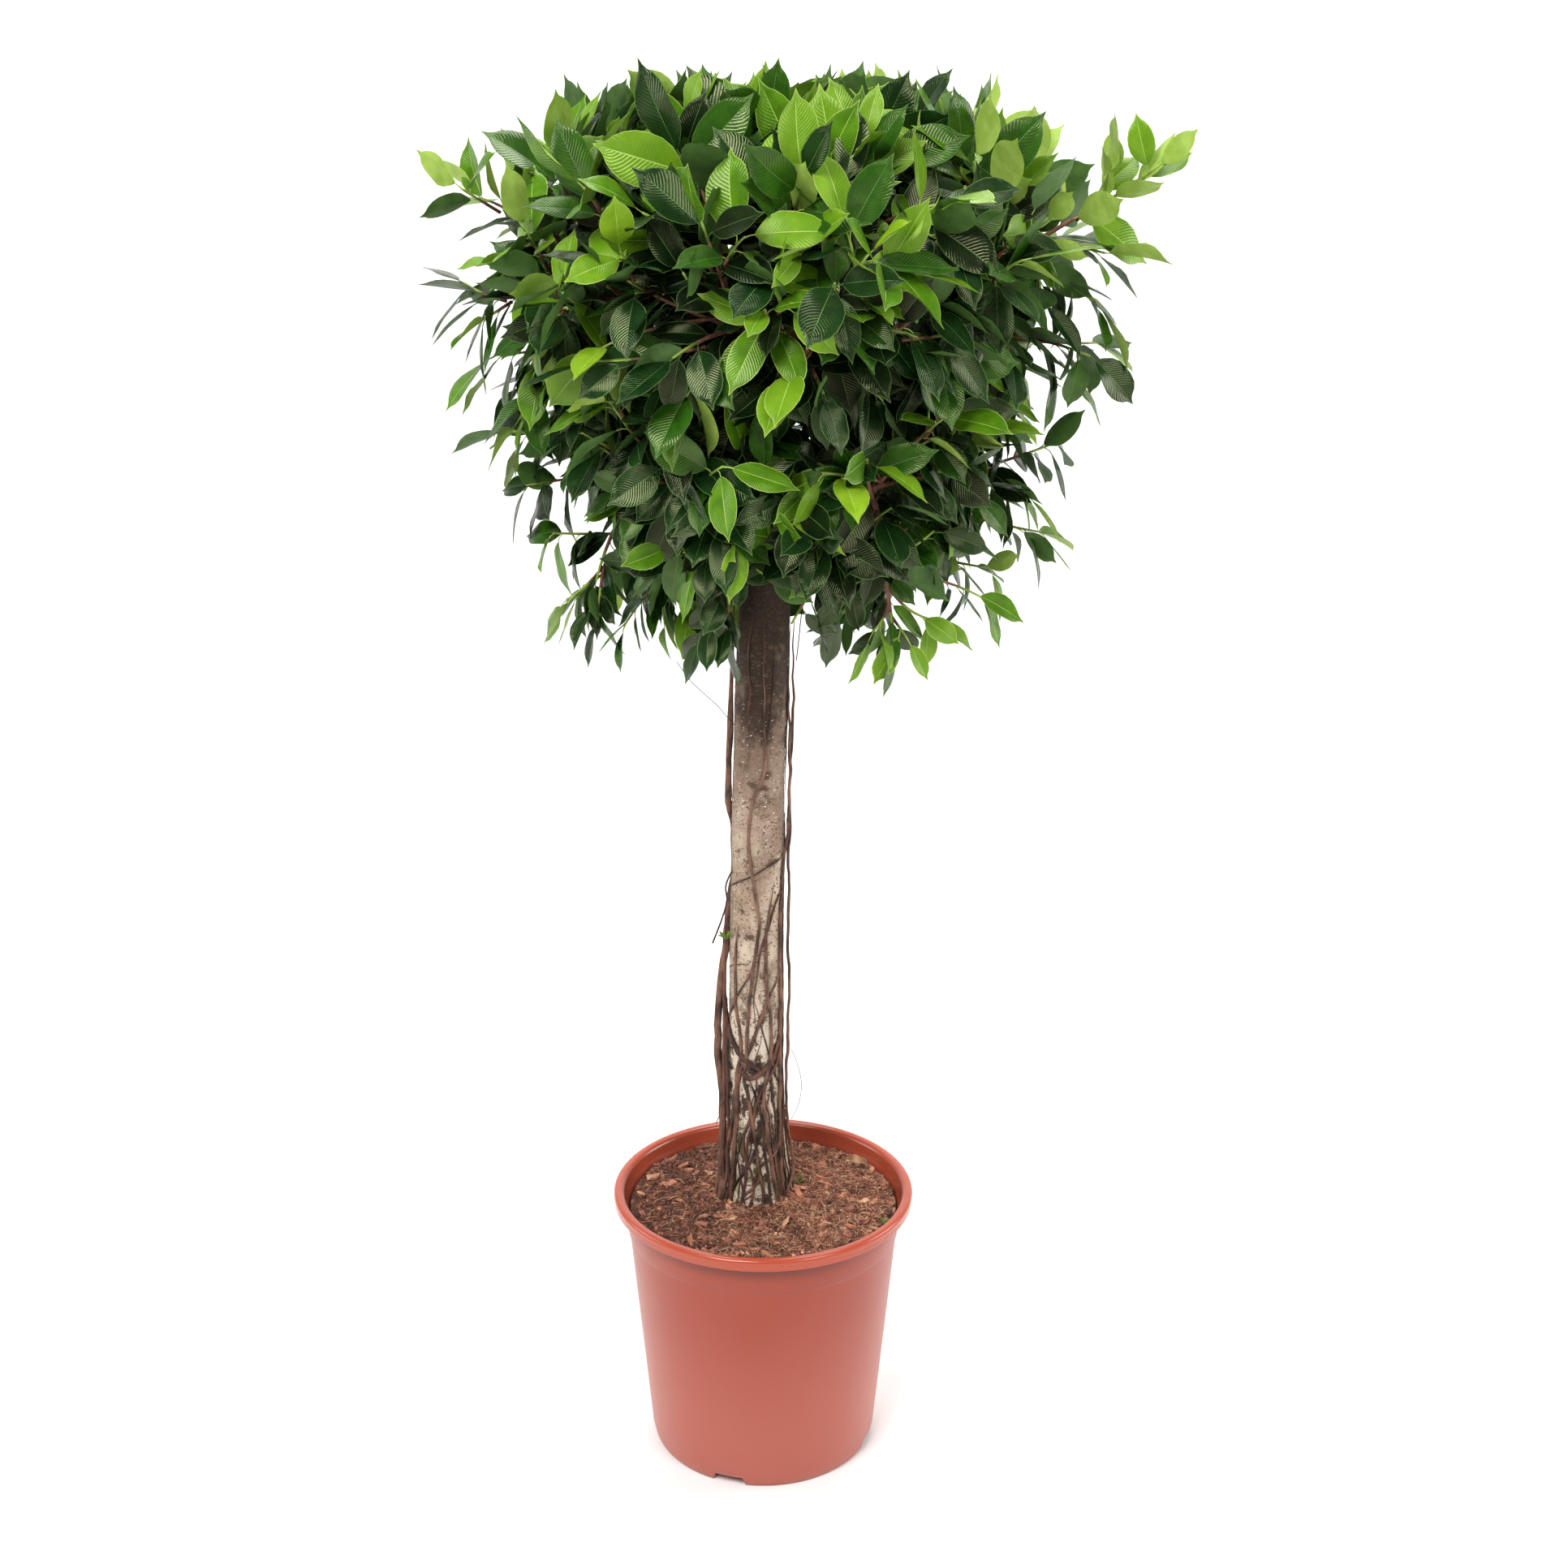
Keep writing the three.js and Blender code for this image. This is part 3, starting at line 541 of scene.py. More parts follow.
def make_pot():
    columns = []
    for azimuth in pot_azimuths():
        out, height = pot_profile(notch_lift(azimuth)).T
        a = math.radians(azimuth)
        columns.append(np.stack([out * math.cos(a), out * math.sin(a), height], -1))
    grid = np.stack(columns, 1)
    batch = Batch()
    batch.body(grid, np.repeat(np.arange(len(grid) - 1) >= INSIDE_RING, len(columns)))
    materials = [pot_material("pot_plastic"), pot_material("pot_inside_painted_shade", True)]
    pot = batch.piece("pot_shell", materials, "pot_plastic")
    drill_holes(pot)
    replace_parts(pot, "pot")


HOLES = 8
HOLE_RADIUS = 5
HOLE_DISTANCE = 80


def drill_holes(pot):
    """Cuts the drainage holes through the floor."""
    batch = Batch()
    for i in range(HOLES):
        x, y, z = on_circle(FIRST_NOTCH + 360 / HOLES * (i + 0.5), HOLE_DISTANCE, FOOT_HEIGHT - 4)
        tube(batch, [(x, y, z), (x, y, z + 5), (x, y, z + 11)], HOLE_RADIUS, 20)
    faces = [list(f) for size in (3, 4) for group in batch.faces[size] for f in group]
    mesh = bpy.data.meshes.new("drills")
    mesh.from_pydata((np.concatenate(batch.points) * MM).tolist(), [], faces)
    drills = placed("drills", mesh)
    cut = pot.modifiers.new("holes", "BOOLEAN")
    cut.object = drills
    cut.operation = "DIFFERENCE"
    cut.solver = "EXACT"
    graph = bpy.context.evaluated_depsgraph_get()
    pot.data = bpy.data.meshes.new_from_object(pot.evaluated_get(graph))
    pot.modifiers.clear()
    bpy.data.objects.remove(drills)
    bpy.data.meshes.remove(mesh)


# Soil: an uneven mound with chips, fibres, dry leaves and green sprigs
MOUND = [(62, SOIL_TOP), (80, SOIL_TOP - 1.2), (100, SOIL_EDGE + 2.6), (130, SOIL_EDGE), (140, SOIL_EDGE - 1)]
SOIL_SIDES = 300
SOIL_REACH = 133


def soil_height(x, y):
    p = (x, y, 0)
    clods = 4.2 * max(ripple(p, 0.075, 7), -0.1) + 3.2 * abs(ripple(p, 0.15, 3)) + 1.3 * ripple(p, 0.4, 5)
    return along(MOUND, math.hypot(x, y)) + 2.4 * ripple(p, 0.03) + clods


def make_soil():
    turns = 2 * np.pi * np.arange(SOIL_SIDES) / SOIL_SIDES
    under = [(FOOT_RADIUS - 6, 11.8)] + [(wall_outside(z) - WALL - 0.6, z) for z in (16, 100, 200)]
    under.append((wall_outside(254) - WALL - 0.8, 252))
    rings = [[(r * math.cos(t), r * math.sin(t), z) for t in turns] for r, z in under]
    for r in [SOIL_REACH + 0.6, SOIL_REACH - 2, *np.linspace(4, 128, 96)[::-1]]:
        spots = [(r * math.cos(t), r * math.sin(t)) for t in turns]
        rings.append([(x, y, soil_height(x, y)) for x, y in spots])
    batch = Batch()
    batch.body(np.array(rings))
    mound = batch.piece("soil_mound", [soil_material("soil_fine", "3b2015", "a06c53", "d2a283")], "soil")
    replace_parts(mound, "soil")


CHIP = np.array([(x, y, z) for z in (-1, 1) for x, y in ((-1, -1), (1, -1), (1, 1), (-1, 1))], float)
CHIP_FACES = np.array([(0, 3, 2, 1), (4, 5, 6, 7), (0, 1, 5, 4), (1, 2, 6, 5), (2, 3, 7, 6), (3, 0, 4, 7)])


def turned(rng, flat):
    """A random turn about Z with a small tip over, as three rows of axes."""
    a = rng.uniform(0, 2 * math.pi)
    x = np.array([math.cos(a), math.sin(a), rng.normal(0, flat)])
    n = unit(np.array([rng.normal(0, flat), rng.normal(0, flat), 1.0]))
    x = unit(x - n * np.dot(x, n))
    return np.array([x, np.cross(n, x), n])


def soil_spot(rng, reach):
    """A random place on the soil, clear of the trunk's foot."""
    while True:
        x, y = rng.uniform(-reach, reach, 2)
        if math.hypot(x, y) < reach and math.hypot(x - TRUNK_FOOT[0], y - TRUNK_FOOT[1]) > TRUNK_ROOM:
            return x, y


SHADED_LEFT = -45  # the soil left of this lies in shade
CHIPS = 3400
CHIP_COLOURS = [("chip_dark", "3a2017", "5b3628"), ("chip_brown", "774836", "9d6550"),
                ("chip_russet", "a1654a", "bd7e5e"), ("chip_tan", "be8a68", "d6a984")]
CHIP_SHARES = {  # of the four colours, by whether the chip is large and whether it lies on the lit right
    (True, True): [0.05, 0.3, 0.43, 0.22], (True, False): [0.2, 0.45, 0.29, 0.06],
    (False, True): [0.28, 0.38, 0.24, 0.1], (False, False): [0.5, 0.34, 0.12, 0.04],
}
FIBRES = 6200
FIBRE_COLOURS = [("fibre_dark", "55301f", "7a4a37"), ("fibre_russet", "a56a51", "c38669"),
                 ("fibre_straw", "c99b78", "e2bd98")]
FIBRE_SHARES = {True: [0.46, 0.4, 0.14], False: [0.7, 0.25, 0.05]}  # by whether it lies on the lit right


def make_chips():
    rng = np.random.default_rng(5)
    batch = Batch()
    for _ in range(CHIPS):
        x, y = soil_spot(rng, SOIL_REACH - 3)
        large = rng.random() < 0.055
        size = rng.uniform(3.0, 6.5) if large else rng.uniform(0.8, 2.6)
        half = np.array([size, size * rng.uniform(0.28, 0.6), size * rng.uniform(0.12, 0.3)])
        corners = CHIP * half * (1 + rng.uniform(-0.45, 0.45, (8, 3)))
        axes = turned(rng, 0.5)
        lift = soil_height(x, y) + half[2] * rng.uniform(0.1, 0.9)
        colour = rng.choice(4, p=CHIP_SHARES[large, x > SHADED_LEFT])
        batch.add(corners @ axes + (x, y, lift), CHIP_FACES, colour)
    batch.piece("soil_chips", [root_material(*c) for c in CHIP_COLOURS], "soil", smooth=False)


def make_fibres():
    rng = np.random.default_rng(11)
    batch = Batch()
    for _ in range(FIBRES):
        x, y = soil_spot(rng, SOIL_REACH - 6)
        length = rng.uniform(6, 24)
        a = rng.uniform(0, 2 * math.pi)
        bend = rng.normal(0, 0.9)
        lift = rng.uniform(0.2, 2.6)
        rise = rng.normal(0, 0.12)
        path = []
        for t in np.linspace(0, 1, 5):
            x += length / 5 * math.cos(a)
            y += length / 5 * math.sin(a)
            if math.hypot(x, y) > SOIL_REACH:
                break
            a += bend * 0.4
            hump = lift * math.sin(math.pi * t) + max(rise, 0) * length * t
            path.append((x, y, soil_height(x, y) + 0.4 + hump))
        if len(path) > 2:
            radius = rng.uniform(0.16, 0.42)
            colour = rng.choice(3, p=FIBRE_SHARES[x > SHADED_LEFT])
            tube(batch, path, np.linspace(radius, radius * 0.5, len(path)), 3, colour)
    batch.piece("soil_fibres", [root_material(*c) for c in FIBRE_COLOURS], "soil")


# Trunk: the solids' stem with the relief of its bark
def trunk_centre(height):
    t = max(height - SOIL_TOP, 0) / (FORK_HEIGHT - SOIL_TOP)
    return np.array([lerp(-8, 4.5, t ** 2.6), lerp(12, 6, t) + 4 * math.sin(math.pi * t), height])


def trunk_radius(height, azimuth):
    t = min(max((height - SOIL_TOP) / (FORK_HEIGHT - SOIL_TOP), 0), 1)
    flare = 9 * math.exp(-(height - SOIL_TOP) / (120 / 2.6))
    return lerp(27, 23.5, t ** 0.7) + flare * (1 + 0.35 * math.cos(7 * azimuth + 0.6))


def bump_at(height, azimuth, at_height, at_azimuth, tall, wide):
    off = (azimuth - at_azimuth + math.pi) % (2 * math.pi) - math.pi
    return math.exp(-((height - at_height) / tall) ** 2 - (off / wide) ** 2)


SCARS = [  # height, degrees, tall, wide, how far it stands out
    (438, 280, 13, 0.45, 3.2), (413, 263, 7, 0.36, -3.2), (399, 268, 7, 0.5, 2.2), (708, 268, 7, 0.5, 1.2),
    (792, 268, 6, 0.2, -0.9), (350, 300, 26, 0.4, 1.6), (470, 240, 30, 0.5, 1.0), (612, 255, 7, 0.25, 0.9),
    (560, 60, 14, 0.4, 1.8), (520, 150, 10, 0.3, 1.4), (640, 330, 9, 0.3, 1.0),
]
TRUNK_SIDES, TRUNK_RINGS = 128, 400


def bark_relief(point, height, azimuth):
    base = math.exp(-(height - SOIL_TOP) / 110)
    x, y, z = point
    strands = ripple((x, y, z * 0.1), 0.11, 3) * lerp(0.4, 2.0, base)
    swell = 0.9 * ripple((x, y, z * 0.5), 0.028, 9)
    pits = 0.38 * ripple((x, y, z * 2.4), 0.3, 1) + 0.2 * ripple((x, y, z * 2.0), 0.8, 5)
    scars = sum(out * bump_at(height, azimuth, at, math.radians(d), tall, wide)
                for at, d, tall, wide, out in SCARS)
    return strands + swell + pits + scars


def on_trunk(height, azimuth):
    """The trunk's centre at a height, its radius there and how far its bark stands out from that."""
    centre = trunk_centre(height)
    r = trunk_radius(max(height, SOIL_TOP), azimuth)
    return centre, r, bark_relief(centre + r * radial(azimuth), height, azimuth)


def make_trunk():
    grid = np.zeros((TRUNK_RINGS, TRUNK_SIDES, 3))
    for i in range(TRUNK_RINGS):
        height = lerp(SOIL_TOP - 4, FORK_HEIGHT, i / (TRUNK_RINGS - 1))
        for s in range(TRUNK_SIDES):
            a = 2 * math.pi * s / TRUNK_SIDES
            centre, r, relief = on_trunk(height, a)
            grid[i, s] = centre + r * radial(a) + relief * radial(a)
    batch = Batch()
    batch.body(grid)
    trunk = batch.piece("trunk_bark", [bark_material()], "bark")
    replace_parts(trunk, "trunk")


# Aerial roots: the solids' nine, and the finer ones that cross them
ROOT_FOOT = 256  # where the roots end, under the soil's surface
STOUT = 3  # the radius over which a root of the solids keeps its thickness
THINNED = 0.68  # the share of it that the others keep


def root_path(course, stand_offs, radius, seed):
    """The solids' course with a finer wander, and places where the root stands off the bark."""
    path = []
    for height, azimuth in smooth_through(course, 10):
        a = math.radians(azimuth) + 0.07 * ripple((seed * 9.1, 9, height), 0.045)
        centre, r, relief = on_trunk(height, a)
        off = along(stand_offs, height) + 1.6 * ripple((seed * 5.7, 3, height), 0.05)
        r += max(relief, 0) + radius + max(off, 0)
        path.append(centre + r * radial(a))
    return np.array(path)


def root_radii(count, radius, seed):
    """Knotty, a little thicker at the soil, and fine where it leaves the bark at its top."""
    t = np.linspace(0, 1, count)
    thick = lerp(1.15, 0.85, t) + 0.22 * knots(count, seed * 17.0)
    return radius * thick * np.clip((1.02 - t) / 0.14, 0.2, 1)


def make_roots():
    bark = [root_material("root_bark", "3c241b", "815c48")]
    for i, (radius, course, stand_offs) in enumerate(ROOT_RUNS):
        batch = Batch()
        seen = radius if radius > STOUT else THINNED * radius
        path = root_path([(ROOT_FOOT, course[0][1]), *course], stand_offs, seen, i)
        tube(batch, path, root_radii(len(path), seen, i), 9)
        strand = batch.piece(f"root_strand_{i + 1}", bark, "root_bark")
        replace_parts(strand, f"aerial_root_{i + 1}")


# Roots that cross the front of the trunk: [height, degrees] along each, and its radius
CROSSING_ROOTS = [
    ([(556, 276), (528, 270), (495, 241), (472, 216), (451, 182), (440, 172)], 1.7),
    ([(586, 170), (596, 198), (605, 233), (611, 258), (621, 295), (626, 330), (636, 350)], 1.3),
    ([(669, 352), (653, 354), (624, 349), (600, 344), (582, 314), (559, 297), (540, 284), (507, 272),
      (478, 269), (440, 270)], 1.8),
    ([(560, 350), (523, 342), (488, 305), (462, 280), (438, 262), (413, 242), (398, 238), (380, 225),
      (351, 219), (322, 210), (290, 195), (256, 188)], 3.0),
    ([(474, 182), (456, 190), (441, 208), (428, 232), (417, 254), (408, 280), (398, 304)], 4.2),
    ([(455, 346), (434, 322), (416, 300), (406, 280), (402, 260), (407, 240), (398, 228)], 4.0),
    ([(424, 236), (400, 233), (367, 230), (330, 227), (290, 225), (256, 221)], 3.6),
    ([(404, 256), (380, 272), (350, 284), (310, 290), (256, 296)], 2.6),
    ([(475, 350), (451, 344), (416, 322), (399, 297), (375, 273), (352, 265), (325, 256), (256, 248)], 2.8),
    ([(395, 276), (382, 288), (337, 303), (301, 309), (262, 326)], 1.7),
    ([(360, 210), (335, 225), (302, 238), (262, 258)], 1.5),
    ([(372, 192), (349, 206), (317, 223), (262, 228)], 1.4),
    ([(503, 172), (513, 200), (519, 231), (520, 250), (526, 260)], 0.8),
    ([(490, 262), (477, 271), (456, 282), (434, 293), (415, 307), (395, 322), (379, 336), (340, 342),
      (262, 346)], 1.2),
    ([(600, 326), (579, 336), (521, 340), (480, 346), (420, 350)], 1.2),
    ([(373, 296), (336, 307), (301, 311), (262, 313)], 1.2),
    ([(850, 300), (800, 296), (766, 290), (742, 284)], 1.3),
    ([(880, 246), (830, 240), (790, 246), (760, 236)], 1.4),
    ([(700, 30), (640, 12), (580, -6), (520, -12), (450, -4), (380, -14), (262, -24)], 1.5),
    ([(866, 352), (800, 350), (740, 354), (690, 352)], 1.4),
]


# Roots that fill the hollow between the stout left root and the trunk, each with how far it stands off
LEFT_ROOTS = [
    ([(560, 176), (500, 186), (455, 190), (410, 192), (360, 196), (300, 206), (256, 214)], 2.4, 3.5),
    ([(530, 168), (480, 180), (440, 183), (390, 184), (340, 188), (290, 196), (256, 200)], 2.6, 3.0),
    ([(480, 196), (430, 199), (380, 205), (330, 212), (256, 222)], 1.6, 2.5),
]

# Fine roots that hang clear of the bark: radius, and [x, y, height] along each
HANGING = [
    (0.9, [(-27, 8, 614), (-33, 6, 604), (-36, 5, 594), (-35, 4, 580), (-40, 2, 562), (-49, 0, 538)]),
    (0.35, [(-27, 6, 757), (-37, 4, 769), (-43, 2, 777), (-51, 0, 785), (-68, -4, 803), (-80, -8, 822)]),
    (0.3, [(28, 4, 424), (35, 2, 405), (38, 0, 386), (35, 0, 365), (28, 2, 348)]),
    (0.5, [(-34, 4, 372), (-43, 2, 362), (-44, 0, 352), (-47, -2, 346)]),
    (0.5, [(30, 8, 905), (36, 6, 880), (34, 4, 850), (31, 4, 820)]),
]


def on_bark(rows, radius, lift):
    """The path of a root that follows the relief of the bark."""
    path = []
    for height, azimuth in rows:
        a = math.radians(azimuth)
        centre, r, relief = on_trunk(height, a)
        r += max(relief, -1.0) + radius * 0.5 + lift
        path.append(centre + r * radial(a))
    return np.array(path)


SEEDED_ROOTS = 34


def seeded_roots(rng):
    """Finer roots that wrap the foot of the trunk, each a run of [height, degrees] and its radius."""
    for i in range(SEEDED_ROOTS):
        top = rng.uniform(345, 470) if i % 11 else rng.uniform(560, 850)
        azimuth = rng.uniform(0, 360) if i % 11 else rng.uniform(-30, 190)
        swing = rng.normal(28, 46)
        turns = azimuth + swing * np.linspace(0, 1, 7) + rng.normal(0, 6, 7)
        radius = rng.uniform(0.4, 0.9) if i % 4 else rng.uniform(1.0, 1.6)
        yield list(zip(np.linspace(262, top, 7), turns)), radius


def strand_radii(rows, radius, seed):
    """Knotty, and fine at each end that isn't in the soil."""
    t = np.linspace(0, 1, len(rows))
    radii = radius * (1 + 0.2 * knots(len(rows), seed * 17.0))
    for away, height in ((t, rows[0][0]), (1 - t, rows[-1][0])):
        if height > SOIL_TOP + 11:
            radii = radii * np.clip(away / 0.28, 0.22, 1)
    return radii


def make_crossing_roots():
    batch = Batch()
    rng = np.random.default_rng(23)
    runs = [(rows, (0.7 if radius > 3.2 else 0.58) * radius, 12, 0.6) for rows, radius in CROSSING_ROOTS]
    runs += [(rows, radius, 12, lift) for rows, radius, lift in LEFT_ROOTS]
    runs += [(rows, radius, 10, rng.uniform(-0.3, 1.0)) for rows, radius in seeded_roots(rng)]
    for i, (rows, radius, step, lift) in enumerate(runs):
        rows = smooth_through(rows, step)
        rows[:, 1] += [4.0 * ripple((i * 5.3, 2, height), 0.03) for height in rows[:, 0]]
        tube(batch, on_bark(rows, radius, lift), strand_radii(rows, radius, i + 40), 7, i % 3)
    for radius, rows in HANGING:
        tube(batch, smooth_through(rows, 8), radius, 5, 1)
    colours = [("root_brown", "38221a", "7b5543"), ("root_dark", "22110b", "533528"),
               ("root_red", "3a1d16", "6e4434")]
    batch.piece("root_tangle", [root_material(*c) for c in colours], "root_bark")


# Crown: the solids' boughs, limbs and shoots, carried on to finer twigs
def mass_plans():
    rows = [(f"{name}_{i + 1}", f"bough_{name}_{i + 1}",
             on_circle(turn + 360 / count * i, distance, height, HEAD), leave, reach)
            for name, count, turn, distance, height, leave, reach in MASS_RINGS for i in range(count)]
    height, leave, reach = TOP_MASS
    rows.append(("top", "leader", np.array([*HEAD, height]), leave, reach))
    return [dict(zip(("name", "bough", "centre", "leave", "reach"), row)) for row in rows]


def bough_ends(plan):
    start = trunk_centre(plan["leave"])
    end = lerp(start, plan["centre"], plan["reach"])
    bend = lerp(start, end, 0.5)
    if plan["bough"] != "leader":
        bend[2] += 0.1 * np.linalg.norm(end - start)
    return start, bend, end


def depth_in_space(point, plan, plans):
    others = [p["centre"] for p in plans if p is not plan]
    return min((np.sum((point - c) ** 2) - np.sum((point - plan["centre"]) ** 2))
               / (2 * np.linalg.norm(c - plan["centre"])) for c in others)


def surface_tips(count, low_crowding):
    """Points all over the head's outline, by the golden angle, closer together in its low part."""
    bands = []
    for (h0, r0), (h1, r1) in zip(OUTLINE, OUTLINE[1:]):
        crowding = low_crowding if h1 <= LOW_PART else 1
        bands.append((h0, h1, r0, r1, crowding * (r0 + r1) * math.hypot(h1 - h0, r1 - r0)))
    whole = sum(band[4] for band in bands)
    tips = []
    for i in range(count):
        left = whole * (i + 0.5) / count
        for h0, h1, r0, r1, area in bands:
            if left < area:
                break
            left -= area
        t = min(left / area, 1)
        tips.append(on_circle(GOLDEN_ANGLE * i, lerp(r0, r1, t), lerp(h0, h1, t), HEAD))
    return tips


def bunches(tips):
    left = list(tips)
    while left:
        first = left.pop(0)
        left.sort(key=lambda p: np.linalg.norm(p - first))
        yield first, left[:len(FORKS)]
        del left[:len(FORKS)]


def main_shoots(plan, plans):
    """The solids' limbs and side shoots: (from, to, radius at the start, whether it outgrew the head)."""
    long_tips = [on_circle(a, d, h, HEAD) for a, h, d in LONG_SHOOTS]
    all_tips = long_tips + surface_tips(MAIN_TIPS, LOW_CROWDING)
    tips = [p for p in all_tips if depth_in_space(p, plan, plans) > MAIN_RADIUS]
    shoots = []
    for first, others in bunches(tips):
        shoots.append((plan["centre"], first, MAIN_RADIUS, any(first is p for p in long_tips)))
        for fork, tip in zip(FORKS, others):
            start = lerp(plan["centre"], first, fork)
            shoots.append((start, tip, SIDE_RADIUS, any(tip is p for p in long_tips)))
    return shoots


TWIG_STEPS = 9
TWIG_ANGLE = math.radians(42)


def shoot_path(start, end, rng):
    """A shoot that sets off a little low and turns up and outward to its tip."""
    span = np.linalg.norm(end - start)
    bend = lerp(start, end, 0.55) + rng.normal(0, 0.06, 3) * span + UP * 0.05 * span
    return bezier(start, bend, end, TWIG_STEPS)


def fine_twigs(tips, radius, shoots, rng):
    """Twigs to the finer tips, each from the nearest main shoot: (path, radius, whether it is long, age)."""
    starts = np.array([s for s, _, _, _ in shoots])
    ends = np.array([e for _, e, _, _ in shoots])
    spans = np.linalg.norm(ends - starts, axis=1)
    ways = (ends - starts) / spans[:, None]
    twigs = []
    for tip, age in tips:
        run = np.einsum("ij,ij->i", tip - starts, ways)
        off = np.linalg.norm(tip - starts - run[:, None] * ways, axis=1)
        at = np.clip((run - off / math.tan(TWIG_ANGLE)) / spans, 0.12, 0.86)
        joints = starts + (at * spans)[:, None] * ways
        i = int(np.argmin(np.linalg.norm(tip - joints, axis=1)))
        bend = lerp(joints[i], tip, 0.45) + ways[i] * 0.16 * np.linalg.norm(tip - joints[i])
        bend += rng.normal(0, 3, 3)
        twigs.append((bezier(joints[i], bend, tip, TWIG_STEPS), radius, False, age))
    return twigs


# Leaves: a blade with a rib, from narrow base to blunt drip tip, on a short stalk
STATIONS = np.array([0.03, 0.09, 0.19, 0.32, 0.46, 0.6, 0.72, 0.81, 0.87, 0.92])
HALF_WIDTHS = np.array([0.14, 0.4, 0.74, 0.95, 1.0, 0.94, 0.76, 0.5, 0.22, 0.09])
COLUMNS = np.array([-1, -0.55, -0.02, 0.02, 0.55, 1])
LOW_COLUMNS = np.array([-1.0, 0, 1])
MARGIN = 0.75  # the pale edge of the blade that shows round its upper side
STALK_RINGS, STALK_SIDES = 3, 3
UPPER, RIB, UNDER, STALK = range(4)


def side_faces(first, kinds, facing_up):
    """One side of a blade, from its foot over rows of points to its tip, and the tip's number."""
    c = len(kinds) + 1
    last_row = first + 1 + (len(STATIONS) - 1) * c
    tip = last_row + c
    tris, quads = [], []
    for j, kind in enumerate(kinds):
        tris += [(first, first + 2 + j, first + 1 + j, kind), (last_row + j, last_row + j + 1, tip, kind)]
        quads += [(a, a + 1, a + c + 1, a + c, kind) for a in range(first + 1 + j, last_row + j, c)]
    if not facing_up:
        tris, quads = ([(a, *others[::-1], kind) for a, *others, kind in faces] for faces in (tris, quads))
    return tris, quads, tip


def leaf_template():
    """Faces of one leaf and what each belongs to: the upper side, the rib, the underside or the stalk."""
    tris, quads, tip = side_faces(0, [UPPER, UPPER, RIB, UPPER, UPPER], True)
    low_tris, low_quads, low_tip = side_faces(tip + 1, [UNDER, UNDER], False)
    stalk = low_tip + 1
    stalk_quads = [(*face, STALK) for face in ring_faces(STALK_RINGS, STALK_SIDES) + stalk]
    return (np.array(tris + low_tris), np.array(quads + low_quads + stalk_quads),
            stalk + STALK_RINGS * STALK_SIDES)


LEAF_TRIS, LEAF_QUADS, LEAF_POINTS = leaf_template()


def leaf_points(leaves):
    """All points of many leaves at once, as [leaf, point, xyz], and their place on the blade."""
    way = leaves["way"]
    side = unit(np.cross(way, leaves["face"]))
    normal = np.cross(side, way)
    length, half = leaves["length"][:, None], leaves["width"][:, None] / 2
    curl, fold, wave, phase, twist, sway = (
        leaves[key][:, None] for key in ("curl", "fold", "wave", "phase", "twist", "sway"))

    def spot(t, u, lift):
        """Points at shares t of the length and u of the half width, lifted off the blade."""
        breadth = half * np.interp(t, [0, *STATIONS, 1], [0, *HALF_WIDTHS, 0])
        along_it = length * (t - 0.12 * curl * t ** 3)
        across = u * breadth + sway * length * t ** 2
        sag = -length * curl * 0.5 * t ** 2
        turned_up = fold * np.abs(u) * breadth
        waved = wave * np.sin(9 * t + phase) * u ** 2 * breadth
        twisted = twist * (t - 0.3) * u * breadth
        out = sag + turned_up + waved + twisted + lift
        return (leaves["base"][:, None] + way[:, None] * along_it[..., None]
                + side[:, None] * across[..., None] + normal[:, None] * out[..., None])

    def place(t, u):
        """Shares of the blade's width and length, from its foot to its tip."""
        return np.stack([[0.5, *(0.5 + 0.5 * u[0]), 0.5], [0, *t[0], 1]], -1)

    stations = len(STATIONS)
    t, u = np.repeat(STATIONS, len(COLUMNS))[None], np.tile(COLUMNS, stations)[None]
    bulge = 0.1 * half * (1 - (2 * np.abs(np.abs(u) - 0.5)) ** 2)
    bulge = bulge * np.sqrt(np.clip(1 - np.abs(2 * t - 1), 0, 1))
    foot, tip = np.zeros((1, 1)), np.ones((1, 1))
    top = np.concatenate([spot(foot, foot, 0), spot(t, u, bulge), spot(tip, foot, 0)], 1)
    t3, u3 = np.repeat(STATIONS, len(LOW_COLUMNS))[None], np.tile(LOW_COLUMNS, stations)[None]
    keel = -np.where(u3 == 0, 0.75 * (1.1 - t3), 0.12)
    low = spot(t3, u3, keel) + side[:, None] * (MARGIN * u3)[..., None]
    under = np.concatenate([top[:, :1], low, top[:, -1:] + way[:, None] * MARGIN], 1)
    bow = lerp(leaves["node"], leaves["base"], 0.5) + leaves["twig"] * 1.2
    turns = 2 * math.pi * np.arange(STALK_SIDES) / STALK_SIDES
    rings = ((leaves["node"], 0.95), (bow, 0.62), (leaves["base"] + way * 1.2, 0.5))
    stalk = np.stack([centre + radius * (side * math.cos(a) + normal * math.sin(a))
                      for centre, radius in rings for a in turns], 1)
    uv = np.concatenate([place(t, u), place(t3, u3), np.zeros((stalk.shape[1], 2))])
    return np.concatenate([top, under, stalk], 1), uv


